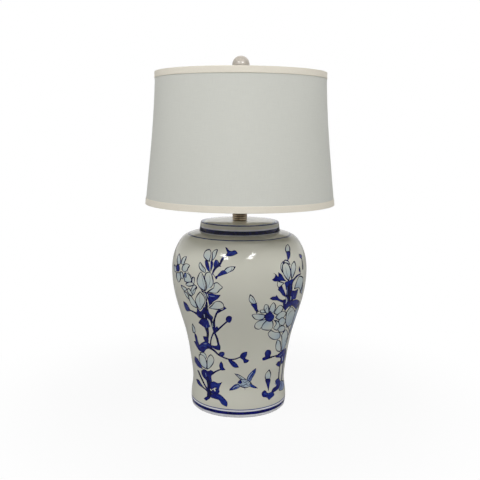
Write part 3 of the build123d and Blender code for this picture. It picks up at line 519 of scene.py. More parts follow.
class Bench:
    """Blender's modelling operators, used as by hand on one piece at a time."""

    @staticmethod
    def clear() -> None:
        """Deselect everything."""
        if bpy.context.mode != "OBJECT":
            bpy.ops.object.mode_set(mode="OBJECT")
        bpy.ops.object.select_all(action="DESELECT")

    @staticmethod
    def pick(*pieces: bpy.types.Object) -> None:
        """Select pieces alone and make the first one active."""
        Bench.clear()
        for piece in pieces:
            piece.select_set(True)
        bpy.context.view_layer.objects.active = pieces[0]

    @staticmethod
    def read(items: Any, name: str, width: int = 1, kind: type = float) -> np.ndarray:
        """Read a value of every item of a mesh, in rows where it has a width."""
        values = np.empty(len(items) * width, kind)
        items.foreach_get(name, values)
        return values.reshape(-1, width) if width > 1 else values

    @staticmethod
    def start_line(points: Sequence[Sequence[float]]) -> bpy.types.Object:
        """Draw a line of vertices from a plane that is merged to a point, and stay in edit mode.

        Args:
            points: Places of the vertices in mm.

        Returns:
            The new object.
        """
        Bench.clear()
        bpy.ops.mesh.primitive_plane_add(size=1, location=(0, 0, 0))
        piece = bpy.context.object
        bpy.ops.object.mode_set(mode="EDIT")
        bpy.ops.mesh.select_all(action="SELECT")
        bpy.ops.mesh.merge(type="CENTER")
        bpy.ops.transform.translate(value=Vector(points[0]) * MM)
        for last, following in zip(points, points[1:]):
            step = (Vector(following) - Vector(last)) * MM
            bpy.ops.mesh.extrude_vertices_move(TRANSFORM_OT_translate={"value": step})
        return piece

    @staticmethod
    def close(piece: bpy.types.Object, name: str, angle: float = 35.0) -> bpy.types.Object:
        """Merge doubles, turn faces outward, leave edit mode and shade smooth."""
        bpy.ops.mesh.select_all(action="SELECT")
        bpy.ops.mesh.remove_doubles(threshold=MERGE_DISTANCE)
        bpy.ops.mesh.normals_make_consistent(inside=False)
        bpy.ops.object.mode_set(mode="OBJECT")
        bpy.ops.object.shade_smooth_by_angle(angle=math.radians(angle))
        piece.name = piece.data.name = name
        return piece

    @staticmethod
    def lathe(
        name: str,
        profile: Sequence[Point],
        steps: int = 96,
        closed: bool = True,
        angle: float = 35.0,
        front: bool = False,
    ) -> bpy.types.Object:
        """Turn a profile round the lamp's axis.

        Args:
            name: Name of the piece.
            profile: Radii and levels in mm.
            steps: Faces round the piece.
            closed: Whether the profile's last point joins its first.
            angle: Largest angle in degrees between faces that shade as one.
            front: Whether the axis is -Y, from the origin, with levels as distances along it.

        Returns:
            The turned piece.
        """
        loop = list(profile) + ([profile[0]] if closed else [])
        if front:
            piece = Bench.start_line([(radius, -reach, 0) for radius, reach in loop])
            axis = (0, 1, 0)
        else:
            piece = Bench.start_line([(radius, 0, level) for radius, level in loop])
            axis = (0, 0, 1)
        bpy.ops.mesh.select_all(action="SELECT")
        bpy.ops.mesh.spin(steps=steps, angle=FULL_TURN, center=(0, 0, 0), axis=axis)
        return Bench.close(piece, name, angle)

    @staticmethod
    def tube(
        name: str, path: Sequence[Sequence[float]], radius: float, sides: int = 3
    ) -> bpy.types.Object:
        """Bend round wire along a path.

        Args:
            name: Name of the piece.
            path: Points of the wire's middle in mm.
            radius: Radius of the wire in mm.
            sides: Bevel resolution.

        Returns:
            The wire.
        """
        Bench.start_line(path)
        bpy.ops.object.mode_set(mode="OBJECT")
        bpy.ops.object.convert(target="CURVE")
        piece = bpy.context.object
        piece.data.bevel_depth = radius * MM
        piece.data.bevel_resolution = sides
        piece.data.use_fill_caps = True
        bpy.ops.object.convert(target="MESH")
        piece = bpy.context.object
        bpy.ops.object.mode_set(mode="EDIT")
        return Bench.close(piece, name, 40.0)

    @staticmethod
    def join(name: str, pieces: Sequence[bpy.types.Object]) -> bpy.types.Object:
        """Join pieces into one object."""
        Bench.pick(*pieces)
        bpy.ops.object.join()
        whole = bpy.context.object
        whole.name = whole.data.name = name
        return whole

    @staticmethod
    def settle(piece: bpy.types.Object) -> None:
        """Move a piece's place into its mesh."""
        Bench.pick(piece)
        bpy.ops.object.transform_apply(location=True, rotation=True, scale=True)

    @staticmethod
    def wrap(piece: bpy.types.Object, radius: float) -> None:
        """Lay out a UV map named Wrap in metres, round the lamp's axis and up it.

        Args:
            piece: The piece.
            radius: Radius in mm at which the map has its true width.
        """
        mesh = piece.data
        layer = mesh.uv_layers.new(name="Wrap")
        corners = Bench.read(mesh.loops, "vertex_index", kind=int)
        totals = Bench.read(mesh.polygons, "loop_total", kind=int)
        faces = np.repeat(np.arange(len(totals)), totals)
        x, y, z = Bench.read(mesh.vertices, "co", 3)[corners].T
        turn = np.arctan2(x, -y)
        first = turn[np.concatenate(([0], np.cumsum(totals)[:-1]))][faces]
        turn += FULL_TURN * np.round((first - turn) / FULL_TURN)
        layer.data.foreach_set("uv", np.column_stack((turn * radius * MM, z)).ravel())


def dress(
    piece: bpy.types.Object, finish: Finish, body: str, nodes: Iterable[str] = ()
) -> bpy.types.Object:
    """Give a new piece its finish, its body and the CAD nodes that it stands for.

    Args:
        piece: The piece.
        finish: Its finish.
        body: Body that it rides on.
        nodes: CAD nodes that it replaces.

    Returns:
        The piece.
    """
    piece.data.materials.clear()
    piece.data.materials.append(finish.material())
    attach(piece, body)
    if nodes:
        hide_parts(*nodes)
    LOG.info("%s: %d faces on %s", piece.name, len(piece.data.polygons), body)
    return piece


def paint_node(frame: dict[str, Any], node: str, finish: Finish) -> None:
    """Give a CAD node that stays in view its finish."""
    materials = frame["nodes"][node].data.materials
    materials.clear()
    materials.append(finish.material())
    LOG.info("%s: CAD solid in %s", node, finish.name)


def soften(corners: Sequence[Sequence[float]], closed: bool = False, steps: int = 5) -> list[Point]:
    """Round the corners of a drawn line.

    Args:
        corners: Places with, as a third number where a corner is round, its radius.
        closed: Whether the last corner joins the first.
        steps: Spans of each rounding.

    Returns:
        The points of the rounded line.
    """
    points: list[Point] = []
    count = len(corners)
    for index, corner in enumerate(corners):
        here = np.array(corner[:2], float)
        radius = corner[2] if len(corner) > 2 else 0.0
        if not radius or (not closed and index in (0, count - 1)):
            points.append((here[0], here[1]))
            continue
        back = np.array(corners[index - 1][:2], float) - here
        ahead = np.array(corners[(index + 1) % count][:2], float) - here
        back /= np.linalg.norm(back)
        ahead /= np.linalg.norm(ahead)
        half = math.acos(float(np.clip(back @ ahead, -1, 1))) / 2
        middle = (back + ahead) / np.linalg.norm(back + ahead)
        centre = here + middle * radius / math.sin(half)
        start = here + back * radius / math.tan(half) - centre
        end = here + ahead * radius / math.tan(half) - centre
        turn = math.atan2(start[0] * end[1] - start[1] * end[0], start @ end)
        for step in range(steps + 1):
            angle = turn * step / steps
            spun = (
                start[0] * math.cos(angle) - start[1] * math.sin(angle),
                start[0] * math.sin(angle) + start[1] * math.cos(angle),
            )
            points.append((centre[0] + spun[0], centre[1] + spun[1]))
    return points


def teeth(radius: float, depth: float, low: float, high: float, pitch: float) -> list[Point]:
    """Give the outline of a screw thread, from its low end to its high end."""
    points = []
    for turn in range(int((high - low) / pitch)):
        level = low + turn * pitch
        for share, sink in ((0.0, 0.5), (0.15, 0.1), (0.3, 0.0), (0.45, 0.1), (0.6, 0.5), (0.8, 1.0)):
            points.append((radius - depth * sink, level + share * pitch))
    return points


# ---------------------------------------------------------------- the lamp's pieces
@dataclass
class JarLid:
    """Flat glazed lid with a painted band round its wall.

    Attributes:
        lip: Radius and level of the lip.
        edge: Radius and level of the upper edge.
        pad: Radius and level of the flat middle.
        wall: Wall thickness.
        hole: Radius of the pipe's hole.
        bands: Painted rings, each with its low and high level and its depth.
        pale: Whiter rings beside them.
    """

    lip: Point = (88.4, 388.2)
    edge: Point = (84.8, 409.8)
    pad: Point = (24.0, 411.4)
    wall: float = 4.5
    hole: float = 5.55
    bands: tuple[tuple[float, float, float], ...] = ((390.4, 398.6, 0.95), (408.5, 410.0, 0.95))
    pale: tuple[Point, ...] = ((387.0, 391.0), (398.0, 401.5))

    def build(self) -> None:
        """Turn the lid and glaze it."""
        under = self.edge[1] - self.wall
        crown = [(54.0, 411.0), (39.0, 411.3)]
        profile = soften(
            [
                (*self.lip, 1.0),
                (*self.edge, 1.2),
                *crown,
                (*self.pad, 4.0),
                (self.hole, self.pad[1]),
                (self.hole, under),
                (self.edge[0] - self.wall, under, 2.0),
                (self.lip[0] - self.wall, self.lip[1]),
            ],
            closed=True,
        )
        lid = Bench.lathe("jar_lid_glazed", profile, 192)
        dress(lid, Glaze("glaze_lid", self.bands, self.pale), "base", ["jar_lid"])


@dataclass
class BrassNeck:
    """Ribbed neck of antique brass between the lid and the socket.

    Attributes:
        foot: Level of the foot.
        radius: Radius over the ribs.
        rib: Height of a rib.
        ribs: Number of ribs.
        groove: Depth between the ribs.
        bore: Radius of the bore.
    """

    foot: float = 412.4
    radius: float = 16.0
    rib: float = 4.5
    ribs: int = 4
    groove: float = 1.1
    bore: float = 5.55

    def build(self) -> None:
        """Turn the neck."""
        profile: list[Point] = [(self.bore, self.foot)]
        for index in range(self.ribs):
            middle = self.foot + (index + 0.5) * self.rib
            for angle in range(-80, 81, 16):
                bulge = math.cos(math.radians(angle)) ** 0.6
                reach = middle + math.sin(math.radians(angle)) * self.rib / 2
                profile.append((self.radius - self.groove * (1 - bulge), reach))
        profile.append((self.bore, self.foot + self.ribs * self.rib))
        neck = Bench.lathe("neck_ribbed", profile, 128)
        dress(neck, Finishes.RIBBED, "base", ["neck"])


@dataclass
class LampShade:
    """Belled drum of linen on a stiff liner, with bias trims over its two wire rings.

    Attributes:
        bottom: Level of the bottom rim.
        height: Height from rim to rim.
        radii: Fabric radius at the bottom rim, at the curve's two handles and at the top rim.
        cloth: Thickness of the linen.
        liner: Thickness of the liner.
        glue: Gap between bonded layers.
        trim: Thickness of the trims.
        trim_gap: Gap beside the trims.
        trim_reach: Height of a trim outside.
        trim_tuck: Height of a trim inside.
        wire: Radius of the ring wire.
        ring_inset: Distance from each rim to its ring.
        arm: Radius of the spider's arms.
        hub: Lower and upper level of the hub.
        hub_radii: Radius of the hub's hole and of its rim.
        sides: Faces round the shade.
    """

    bottom: float = 449.476
    height: float = 276.3
    radii: tuple[float, float, float, float] = (203.6, 194.1, 182.8, 181.3)
    cloth: float = 0.6
    liner: float = 0.5
    glue: float = 0.05
    trim: float = 0.7
    trim_gap: float = 0.2
    trim_reach: float = 13.2
    trim_tuck: float = 4.0
    wire: float = 1.6
    ring_inset: float = 6.5
    arm: float = 1.4
    hub: Point = (711.176, 715.376)
    hub_radii: Point = (3.5, 12.7)
    sides: int = 192

    def radius(self, level: float, inset: float = 0.0) -> float:
        """Give the fabric's outer radius at a level, drawn in by an inset."""
        rise = (level - self.bottom) / self.height
        fall = 1 - rise
        shares = (fall**3, 3 * fall**2 * rise, 3 * fall * rise**2, rise**3)
        return sum(share * radius for share, radius in zip(shares, self.radii)) - inset

    def wall(self, name: str, outer: float, inner: float, low: float, high: float) -> bpy.types.Object:
        """Turn one layer of the wall."""
        levels = np.linspace(low, high, 33)
        profile = [(self.radius(level, outer), level) for level in levels]
        profile += [(self.radius(level, inner), level) for level in reversed(levels)]
        layer = Bench.lathe(name, profile, self.sides)
        Bench.wrap(layer, self.radii[1])
        return layer

    def seam(self) -> None:
        """Lay the linen's lapped end over the back of the shade."""
        levels = np.linspace(self.bottom + self.trim_reach, self.bottom + self.height - self.trim_reach, 17)
        start = math.radians(88.6)
        lap = math.radians(2.8)
        line = [(self.radius(level, -0.42), level) for level in levels]
        line += [(self.radius(level, -0.02), level) for level in reversed(levels)]
        line.append(line[0])
        points = [(r * math.cos(start), r * math.sin(start), level) for r, level in line]
        strip = Bench.start_line(points)
        bpy.ops.mesh.select_all(action="SELECT")
        bpy.ops.mesh.remove_doubles(threshold=MERGE_DISTANCE)
        bpy.ops.mesh.select_all(action="SELECT")
        bpy.ops.mesh.spin(steps=6, angle=lap, center=(0, 0, 0), axis=(0, 0, 1))
        bpy.ops.mesh.select_all(action="DESELECT")
        bpy.ops.mesh.select_non_manifold()
        bpy.ops.mesh.fill()
        Bench.close(strip, "shade_linen_lap")
        Bench.wrap(strip, self.radii[1])
        dress(strip, Finishes.LINEN, "shade")

    def fold(self, name: str, rim: float, inward: int) -> bpy.types.Object:
        """Turn a trim that is folded over a rim.

        Args:
            name: Name of the piece.
            rim: Level of the rim.
            inward: 1 where the trim reaches up from the rim, -1 where it reaches down.

        Returns:
            The trim.
        """
        wall = self.cloth + self.glue + self.liner
        outside, inside = -self.trim_gap, wall + self.trim_gap
        crease = rim + inward * self.trim
        end = rim + inward * self.trim_reach
        tuck = rim + inward * self.trim_tuck

        def at(level: float, inset: float, rounding: float = 0.0) -> tuple[float, float, float]:
            return (self.radius(level, inset), level, rounding)

        corners = [at(rim, outside - self.trim, 0.34)]
        steps = 5
        for step in range(1, steps):
            level = rim + (end - rim) * step / steps
            corners.append(at(level, outside - self.trim + 0.05))
        corners += [
            at(end, outside - self.trim, 0.3),
            at(end, outside, 0.1),
            at(crease, outside),
            at(crease, inside),
            at(tuck, inside, 0.1),
            at(tuck, inside + self.trim, 0.3),
            at(rim, inside + self.trim, 0.34),
        ]
        trim = Bench.lathe(name, soften(corners, closed=True, steps=3), self.sides)
        Bench.wrap(trim, self.radii[0])
        return trim

    def build(self) -> None:
        """Make the linen, its liner, the trims, the rings and the spider."""
        top = self.bottom + self.height
        low, high = self.bottom + self.trim + self.glue, top - self.trim - self.glue
        linen = self.wall("shade_linen", 0.0, self.cloth, low, high)
        dress(linen, Finishes.LINEN, "shade", ["shade_fabric"])
        backing = self.wall(
            "shade_backing", self.cloth + self.glue, self.cloth + self.glue + self.liner, low, high
        )
        dress(backing, Finishes.STYRENE, "shade", ["shade_liner"])
        self.seam()
        for node, rim, inward in (("shade_bottom_trim", self.bottom, 1), ("shade_top_trim", top, -1)):
            trim = self.fold(f"{node}_bias", rim, inward)
            dress(trim, Finishes.BIAS, "shade", [node])
        inset = self.cloth + self.liner + 2 * self.glue + self.wire
        ring = self.ring("bottom_ring_wire", self.bottom + self.ring_inset, inset)
        dress(ring, Finishes.ENAMEL, "shade", ["shade_bottom_ring"])
        self.spider(top - self.ring_inset, inset)

    def ring(self, name: str, level: float, inset: float) -> bpy.types.Object:
        """Bend a wire ring into the shade, at a level and drawn in by an inset."""
        section = arc((self.radius(level, inset), level), self.wire, 0, 360, 12)[:-1]
        return Bench.lathe(name, section, self.sides, angle=60)

    def spider(self, level: float, inset: float) -> None:
        """Make the top ring with its three arms, and the hub that they meet in.

        Args:
            level: Level of the ring.
            inset: Inset of the ring's middle from the fabric.
        """
        reach = self.radius(level, inset)
        pieces = [self.ring("top_ring", level, inset)]
        low, high = self.hub
        middle = (low + high) / 2
        line = soften([(8.7, middle), (reach - 30.0, middle, 40.0), (reach - 0.8, level)], steps=8)
        for angle in (90.0, 210.0, 330.0):
            turn = math.radians(angle)
            path = [(x * math.cos(turn), x * math.sin(turn), z) for x, z in line]
            pieces.append(Bench.tube("arm", path, self.arm, 4))
        dress(Bench.join("spider_wires", pieces), Finishes.ENAMEL, "shade", ["shade_top_ring"])
        hole, rim = self.hub_radii
        plate = soften([(hole, low, 0.3), (rim, low, 0.8), (rim, high, 0.8), (hole, high, 0.3)], closed=True)
        hub = Bench.lathe("spider_washer", plate, 64)
        dress(hub, Finishes.BRASS, "shade", ["spider_hub"])


@dataclass
class Finial:
    """Ball finial on a threaded brass foot.

    Attributes:
        radius: Radius of the ball.
        centre: Level of the ball's centre.
        flat: Level of its flat underside.
        stem: Radius of the brass stem.
        bore: Radius of its thread's hole.
        foot: Level of its foot.
        top: Level of its top.
    """

    radius: float = 18.5
    centre: float = 743.076
    flat: float = 725.676
    stem: float = 5.2
    bore: float = 3.3
    foot: float = 715.476
    top: float = 733.676

    def build(self) -> None:
        """Turn the ball and its foot."""
        start = math.degrees(math.asin((self.flat - self.centre) / self.radius))
        socket, roof = self.stem + 0.05, self.top + 1.0
        ball = [(0.0, roof), (socket, roof), (socket, self.flat)]
        ball += arc((0.0, self.centre), self.radius, start, 90.0, 40)
        turned = Bench.lathe("finial_ball_lacquered", ball, 96, closed=False)
        dress(turned, Finishes.LACQUER, "finial", ["finial_ball"])
        flange, rise = 8.0, self.foot + 2.0
        foot = soften(
            [
                (self.bore, self.foot),
                (flange, self.foot, 0.5),
                (flange, rise, 0.7),
                (self.stem, rise, 0.4),
                (self.stem, self.top),
                (0.0, self.top),
            ]
        )
        foot += [(0.0, self.top - 1.6), (self.bore, self.top - 1.6)]
        insert = Bench.lathe("finial_foot_brass", foot, 64)
        dress(insert, Finishes.BRASS, "finial", ["finial_insert"])


@dataclass
class Harp:
    """Bent wire harp with its stud, and the two ferrules on its legs.

    Attributes:
        leg: Distance from the axis to each leg.
        foot: Level of the half-round leg ends.
        wire_foot: Level at which the round wire begins.
        lean_foot: Level at which the legs start to lean out.
        wire: Radius of the wire.
        post: Radius of the half-round ends.
        lean: Lean of the legs in degrees.
        half_width: Widest half width.
        side_radius: Radius of the slack side arcs.
        side_turn: Turn of the side arcs in degrees.
        flat: Half length of the straight top.
        top: Level of the wire's middle at the top.
        stud: Levels of the stud block's foot, of the hub's seat and of the stud's end.
        ferrule_radii: Radius of a ferrule's bore, of its waist and of its beads.
        ferrule_length: Length of a ferrule.
        bead: Width of its beads.
    """

    leg: float = 31.0
    foot: float = 448.6
    wire_foot: float = 461.6
    lean_foot: float = 481.6
    wire: float = 1.9
    post: float = 2.45
    lean: float = 28.0
    half_width: float = 57.0
    side_radius: float = 220.0
    side_turn: float = 30.0
    flat: float = 9.0
    top: float = 706.576
    stud: tuple[float, float, float] = (702.076, 711.076, 727.076)
    ferrule_radii: tuple[float, float, float] = (2.55, 3.4, 3.75)
    ferrule_length: float = 16.0
    bead: float = 1.8

    def half(self) -> list[Point]:
        """Give the path of the right half, from its foot to the middle."""
        lean_radius = (self.half_width - self.leg) / (2 * (1 - math.cos(math.radians(self.lean))))
        points = [(self.leg, self.wire_foot), (self.leg, (self.wire_foot + self.lean_foot) / 2)]
        points += arc((self.leg + lean_radius, self.lean_foot), lean_radius, 180, 180 - self.lean, 8)
        rise = 2 * lean_radius * math.sin(math.radians(self.lean))
        side_foot = self.lean_foot + rise
        points += arc((self.half_width - lean_radius, side_foot), lean_radius, -self.lean, 0, 8)[1:]
        centre = (self.half_width - self.side_radius, side_foot)
        points += arc(centre, self.side_radius, 0, self.side_turn, 12)[1:]
        turn = math.radians(self.side_turn)
        inset = self.side_radius * (1 - math.cos(turn))
        arch = (self.half_width - inset - self.flat) / math.cos(turn)
        points += arc((self.flat, self.top - arch), arch, self.side_turn, 90, 12)[1:]
        return points

    def build(self) -> None:
        """Bend the wire, add its half-round ends, and turn the stud and the ferrules."""
        half = self.half()
        path = [(x, 0.0, z) for x, z in half] + [(-x, 0.0, z) for x, z in reversed(half)]
        pieces = [Bench.tube("bow", path, self.wire, 5)]
        for side in (-1, 1):
            Bench.clear()
            middle = (self.foot + self.wire_foot) / 2
            bpy.ops.mesh.primitive_cylinder_add(
                vertices=32,
                radius=self.post * MM,
                depth=(self.wire_foot - self.foot) * MM,
                location=(side * self.leg * MM, 0, middle * MM),
            )
            end = bpy.context.object
            Bench.settle(end)
            bpy.ops.object.mode_set(mode="EDIT")
            bpy.ops.mesh.select_all(action="SELECT")
            bpy.ops.mesh.bisect(
                plane_co=(side * (self.leg - 0.05) * MM, 0, 0),
                plane_no=(side, 0, 0),
                use_fill=True,
                clear_outer=True,
            )
            pieces.append(Bench.close(end, "leg_end"))
        dress(Bench.join("harp_wire", pieces), Finishes.PLATED, "harp", ["harp_bow"])
        low, seat, high = self.stud
        stud = soften([(0.0, low), (7.5, low, 1.0), (7.5, seat, 1.0), (2.8, seat)])
        stud += teeth(3.15, 0.35, seat + 0.6, high - 1.0, 0.94) + [(2.6, high), (0.0, high)]
        block = Bench.lathe("harp_stud_threaded", stud, 64, closed=False)
        dress(block, Finishes.BRASS, "harp", ["harp_stud"])
        for name, side in (("ferrule_left", -1), ("ferrule_right", 1)):
            self.ferrule(name, side)

    def ferrule(self, name: str, side: int) -> None:
        """Turn a ferrule with a bead at each end.

        Args:
            name: Name of its node and body.
            side: -1 on the left, 1 on the right.
        """
        bore, waist, outer = self.ferrule_radii
        low, high = self.foot, self.foot + self.ferrule_length
        neck, edge = self.bead + 0.8, 0.4
        profile = soften(
            [
                (bore, low),
                (outer, low, edge),
                (outer, low + self.bead, edge),
                (waist, low + neck, edge),
                (waist, high - neck, edge),
                (outer, high - self.bead, edge),
                (outer, high, edge),
                (bore, high),
            ],
            closed=True,
            steps=3,
        )
        tube = Bench.lathe(f"{name}_sleeve", profile, 48)
        tube.location.x = side * self.leg * MM
        Bench.settle(tube)
        dress(tube, Finishes.BRASS, name, [name])


@dataclass
class LampSocket:
    """Brass socket with its screw shell and turn knob.

    Attributes:
        foot: Level of the cap's foot.
        cap_top: Level of the cap's rim.
        shell_foot: Level of the shell's foot.
        shell_top: Level of the shell's rim.
        cap_radius: Radius of the cap.
        shell_radius: Radius of the shell.
        switch: Level of the switch.
        shaft_hole: Radius of the hole for the switch shaft.
        knob_face: Distance of the knob's face from the axis.
        knob_length: Length of the knob.
        knob_radii: Radius of the knob's bore, of its crest and of its tip.
        flutes: Number of flutes round the knob.
        press: Share of the radius that is left in a flute.
    """

    foot: float = 437.0
    cap_top: float = 459.0
    shell_foot: float = 453.0
    shell_top: float = 501.0
    cap_radius: float = 17.2
    shell_radius: float = 16.35
    switch: float = 463.0
    shaft_hole: float = 3.2
    knob_face: float = 17.55
    knob_length: float = 14.0
    knob_radii: tuple[float, float, float] = (2.45, 6.4, 5.6)
    flutes: int = 12
    press: float = 0.87

    def cap(self) -> None:
        """Turn the cap with its boss, bell and rolled rim."""
        wall, boss, thread = 0.8, 8.0, 5.2
        bell = self.cap_radius - boss
        level = self.foot + 6.0 + bell
        profile: list[Point] = [(thread, self.foot + 6.8), (thread, self.foot)]
        profile += soften([(thread, self.foot), (boss, self.foot, 0.5), (boss, self.foot + 3.0)])[1:]
        profile += arc((boss, level), bell, -90, 0, 14)
        profile += soften(
            [
                (self.cap_radius, level),
                (self.cap_radius, self.cap_top, 0.3),
                (self.cap_radius - wall, self.cap_top, 0.3),
                (self.cap_radius - wall, level),
            ]
        )[1:]
        profile += arc((boss, level), bell - wall, 0, -90, 14)[1:]
        cap = Bench.lathe("socket_cap_brass", profile, 96)
        dress(cap, Finishes.BRASS, "base", ["socket_cap"])

    def shell(self) -> None:
        """Turn the shell with its bead and cut the shaft's hole."""
        wall = 0.6
        bead = self.shell_top - 12.0
        outer = self.shell_radius
        profile = [(outer - wall, self.shell_foot), (outer, self.shell_foot), (outer, bead - 0.6)]
        profile += arc((outer, bead), wall, -90, 90, 6)[1:]
        rim = [(outer, bead + 0.6), (outer, self.shell_top, 0.25), (outer - wall, self.shell_top, 0.25)]
        profile += soften(rim)[1:]
        shell = Bench.lathe("socket_shell_brass", profile, 96)
        Bench.clear()
        bpy.ops.mesh.primitive_cylinder_add(
            vertices=40,
            radius=self.shaft_hole * MM,
            depth=outer * MM,
            location=(0, -outer * MM, self.switch * MM),
            rotation=(math.pi / 2, 0, 0),
        )
        cutter = bpy.context.object
        Bench.pick(shell)
        cut = shell.modifiers.new("shaft_hole", "BOOLEAN")
        cut.object = cutter
        cut.operation = "DIFFERENCE"
        bpy.ops.object.modifier_apply(modifier=cut.name)
        bpy.data.objects.remove(cutter)
        bpy.ops.object.shade_smooth_by_angle(angle=math.radians(35))
        dress(shell, Finishes.BRASS, "base", ["socket_shell"])

    def screw(self) -> None:
        """Roll the screw shell."""
        foot, top, outer, wall = 473.0, 497.0, 13.8, 0.35
        thread = teeth(outer, 0.5, foot + 2.4, top - 1.0, 3.63)
        outside = [(7.0, foot), (outer - 0.5, foot)] + thread + [(outer - 0.25, top - 0.8), (outer, top)]
        inside = [(radius - wall, level) for radius, level in reversed(outside[2:])]
        profile = outside + inside + [(outer - 0.5 - wall, foot + wall), (7.0, foot + wall)]
        shell = Bench.lathe("screw_shell_rolled", profile, 72, angle=50)
        dress(shell, Finishes.ALUMINIUM, "base", ["screw_shell"])

    def knob(self) -> None:
        """Turn the switch knob and press its flutes."""
        bore, crest, tip = self.knob_radii
        face, end, depth = self.knob_face, self.knob_face + self.knob_length, 9.0
        profile = soften(
            [
                (bore, face),
                (crest, face, 0.5),
                (tip + 0.8, end - 1.2, 1.4),
                (tip - 1.2, end, 1.0),
                (0.0, end),
            ]
        )
        profile += [(0.0, face + depth), (bore, face + depth)]
        knob = Bench.lathe("switch_knob_fluted", profile, 72, front=True)
        Bench.pick(knob)
        bpy.ops.object.mode_set(mode="EDIT")
        bpy.ops.mesh.select_all(action="DESELECT")
        bpy.ops.object.mode_set(mode="OBJECT")
        flute = FULL_TURN / self.flutes
        for vertex in knob.data.vertices:
            x, y, z = vertex.co / MM
            turn = math.atan2(z, x) % flute
            rim = math.hypot(x, z) > 4.6 and -end + 0.6 < y < -face - 1.0
            vertex.select = rim and abs(turn - flute / 2) < flute * 0.26
        bpy.ops.object.mode_set(mode="EDIT")
        bpy.ops.transform.resize(value=(self.press, 1.0, self.press), center_override=(0, 0, 0))
        bpy.ops.object.mode_set(mode="OBJECT")
        knob.location.z = self.switch * MM
        Bench.settle(knob)
        bpy.ops.object.shade_smooth_by_angle(angle=math.radians(45))
        dress(knob, Finishes.PHENOLIC, "switch", ["switch_knob"])

    def build(self) -> None:
        """Make the socket's visible shells and its knob."""
        self.cap()
        self.shell()
        self.screw()
        self.knob()


@dataclass
class Bulb:
    """Frosted bulb with a rolled screw base.

    Attributes:
        base_foot: Level of the base's foot.
        base_top: Level of the base's rim.
        base: Radius of the base.
        radius: Radius of the glass.
        top: Level of the glass's top.
    """

    base_foot: float = 479.8
    base_top: float = 499.8
    base: float = 13.1
    radius: float = 30.0
    top: float = 583.8

    def build(self) -> None:
        """Turn the glass and roll the base."""
        outer, rim = self.base, self.base_top
        rolled = [(0.0, self.base_foot), (outer - 1.6, self.base_foot)]
        rolled += teeth(outer, 0.5, self.base_foot + 1.0, rim - 3.0, 3.63)
        rolled += [(outer - 0.5, rim - 2.4), (outer - 0.3, rim), (outer - 0.7, rim)]
        rolled += [(outer - 0.9, self.base_foot + 0.8), (0.0, self.base_foot + 0.8)]
        base = Bench.lathe("bulb_base_rolled", rolled, 72, closed=False, angle=50)
        dress(base, Finishes.ALUMINIUM, "bulb", ["bulb_base"])
        neck, pull = outer - 0.95, 24.0
        centre = self.top - self.radius
        glass: list[Point] = [(0.0, rim - 5.0), (neck, rim - 5.0), (neck, rim)]
        for step in range(1, 17):
            t = step / 16
            blend = (1 - t) ** 3, 3 * (1 - t) ** 2 * t, 3 * (1 - t) * t**2, t**3
            across = neck * (blend[0] + blend[1]) + self.radius * (blend[2] + blend[3])
            levels = (rim, rim + pull, centre - pull, centre)
            glass.append((across, sum(share * level for share, level in zip(blend, levels))))
        glass += arc((0.0, centre), self.radius, 0, 90, 24)[1:]
        dome = Bench.lathe("bulb_glass_frosted", glass, 96, closed=False)
        dress(dome, Finishes.FROSTED, "bulb", ["bulb_glass"])


@dataclass
class Undercarriage:
    """Threaded pipe and the solids that stay as they are."""

    kept: dict[str, Finish] = field(
        default_factory=lambda: {
            "felt_ring": Finishes.FELT,
            "cord_bushing": Finishes.BUSHING,
            "base_washer": Finishes.ZINC,
            "lock_washer": Finishes.ZINC,
            "base_nut": Finishes.ZINC,
            "saddle_nut": Finishes.ZINC,
            "neck_washer": Finishes.ANTIQUE,
            "harp_saddle": Finishes.PLATED,
            "socket_set_screw": Finishes.ZINC,
            "socket_liner": Finishes.BOARD,
            "socket_body": Finishes.PHENOLIC,
            "terminal_screws": Finishes.BRASS,
            "center_contact": Finishes.BRASS,
            "switch_shaft": Finishes.ZINC,
            "bulb_contact": Finishes.SOLDER,
            "bulb_insulator": Finishes.BLACK_GLASS,
        }
    )

    def build(self, frame: dict[str, Any]) -> None:
        """Cut the pipe's thread and paint the kept solids.

        Args:
            frame: The loaded frame.
        """
        for node, finish in self.kept.items():
            paint_node(frame, node, finish)
        low, high = (corner.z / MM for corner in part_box("threaded_pipe"))
        radius, bore = 5.15, 3.3
        profile = [(bore, low), (radius - 0.6, low)]
        profile += teeth(radius, 0.45, low + 0.2, low + 9.0, 0.94)
        profile += [(radius - 0.3, low + 9.4), (radius - 0.3, high), (bore, high)]
        pipe = Bench.lathe("pipe_threaded", profile, 48, angle=40)
        dress(pipe, Finishes.ZINC, "base", ["threaded_pipe"])


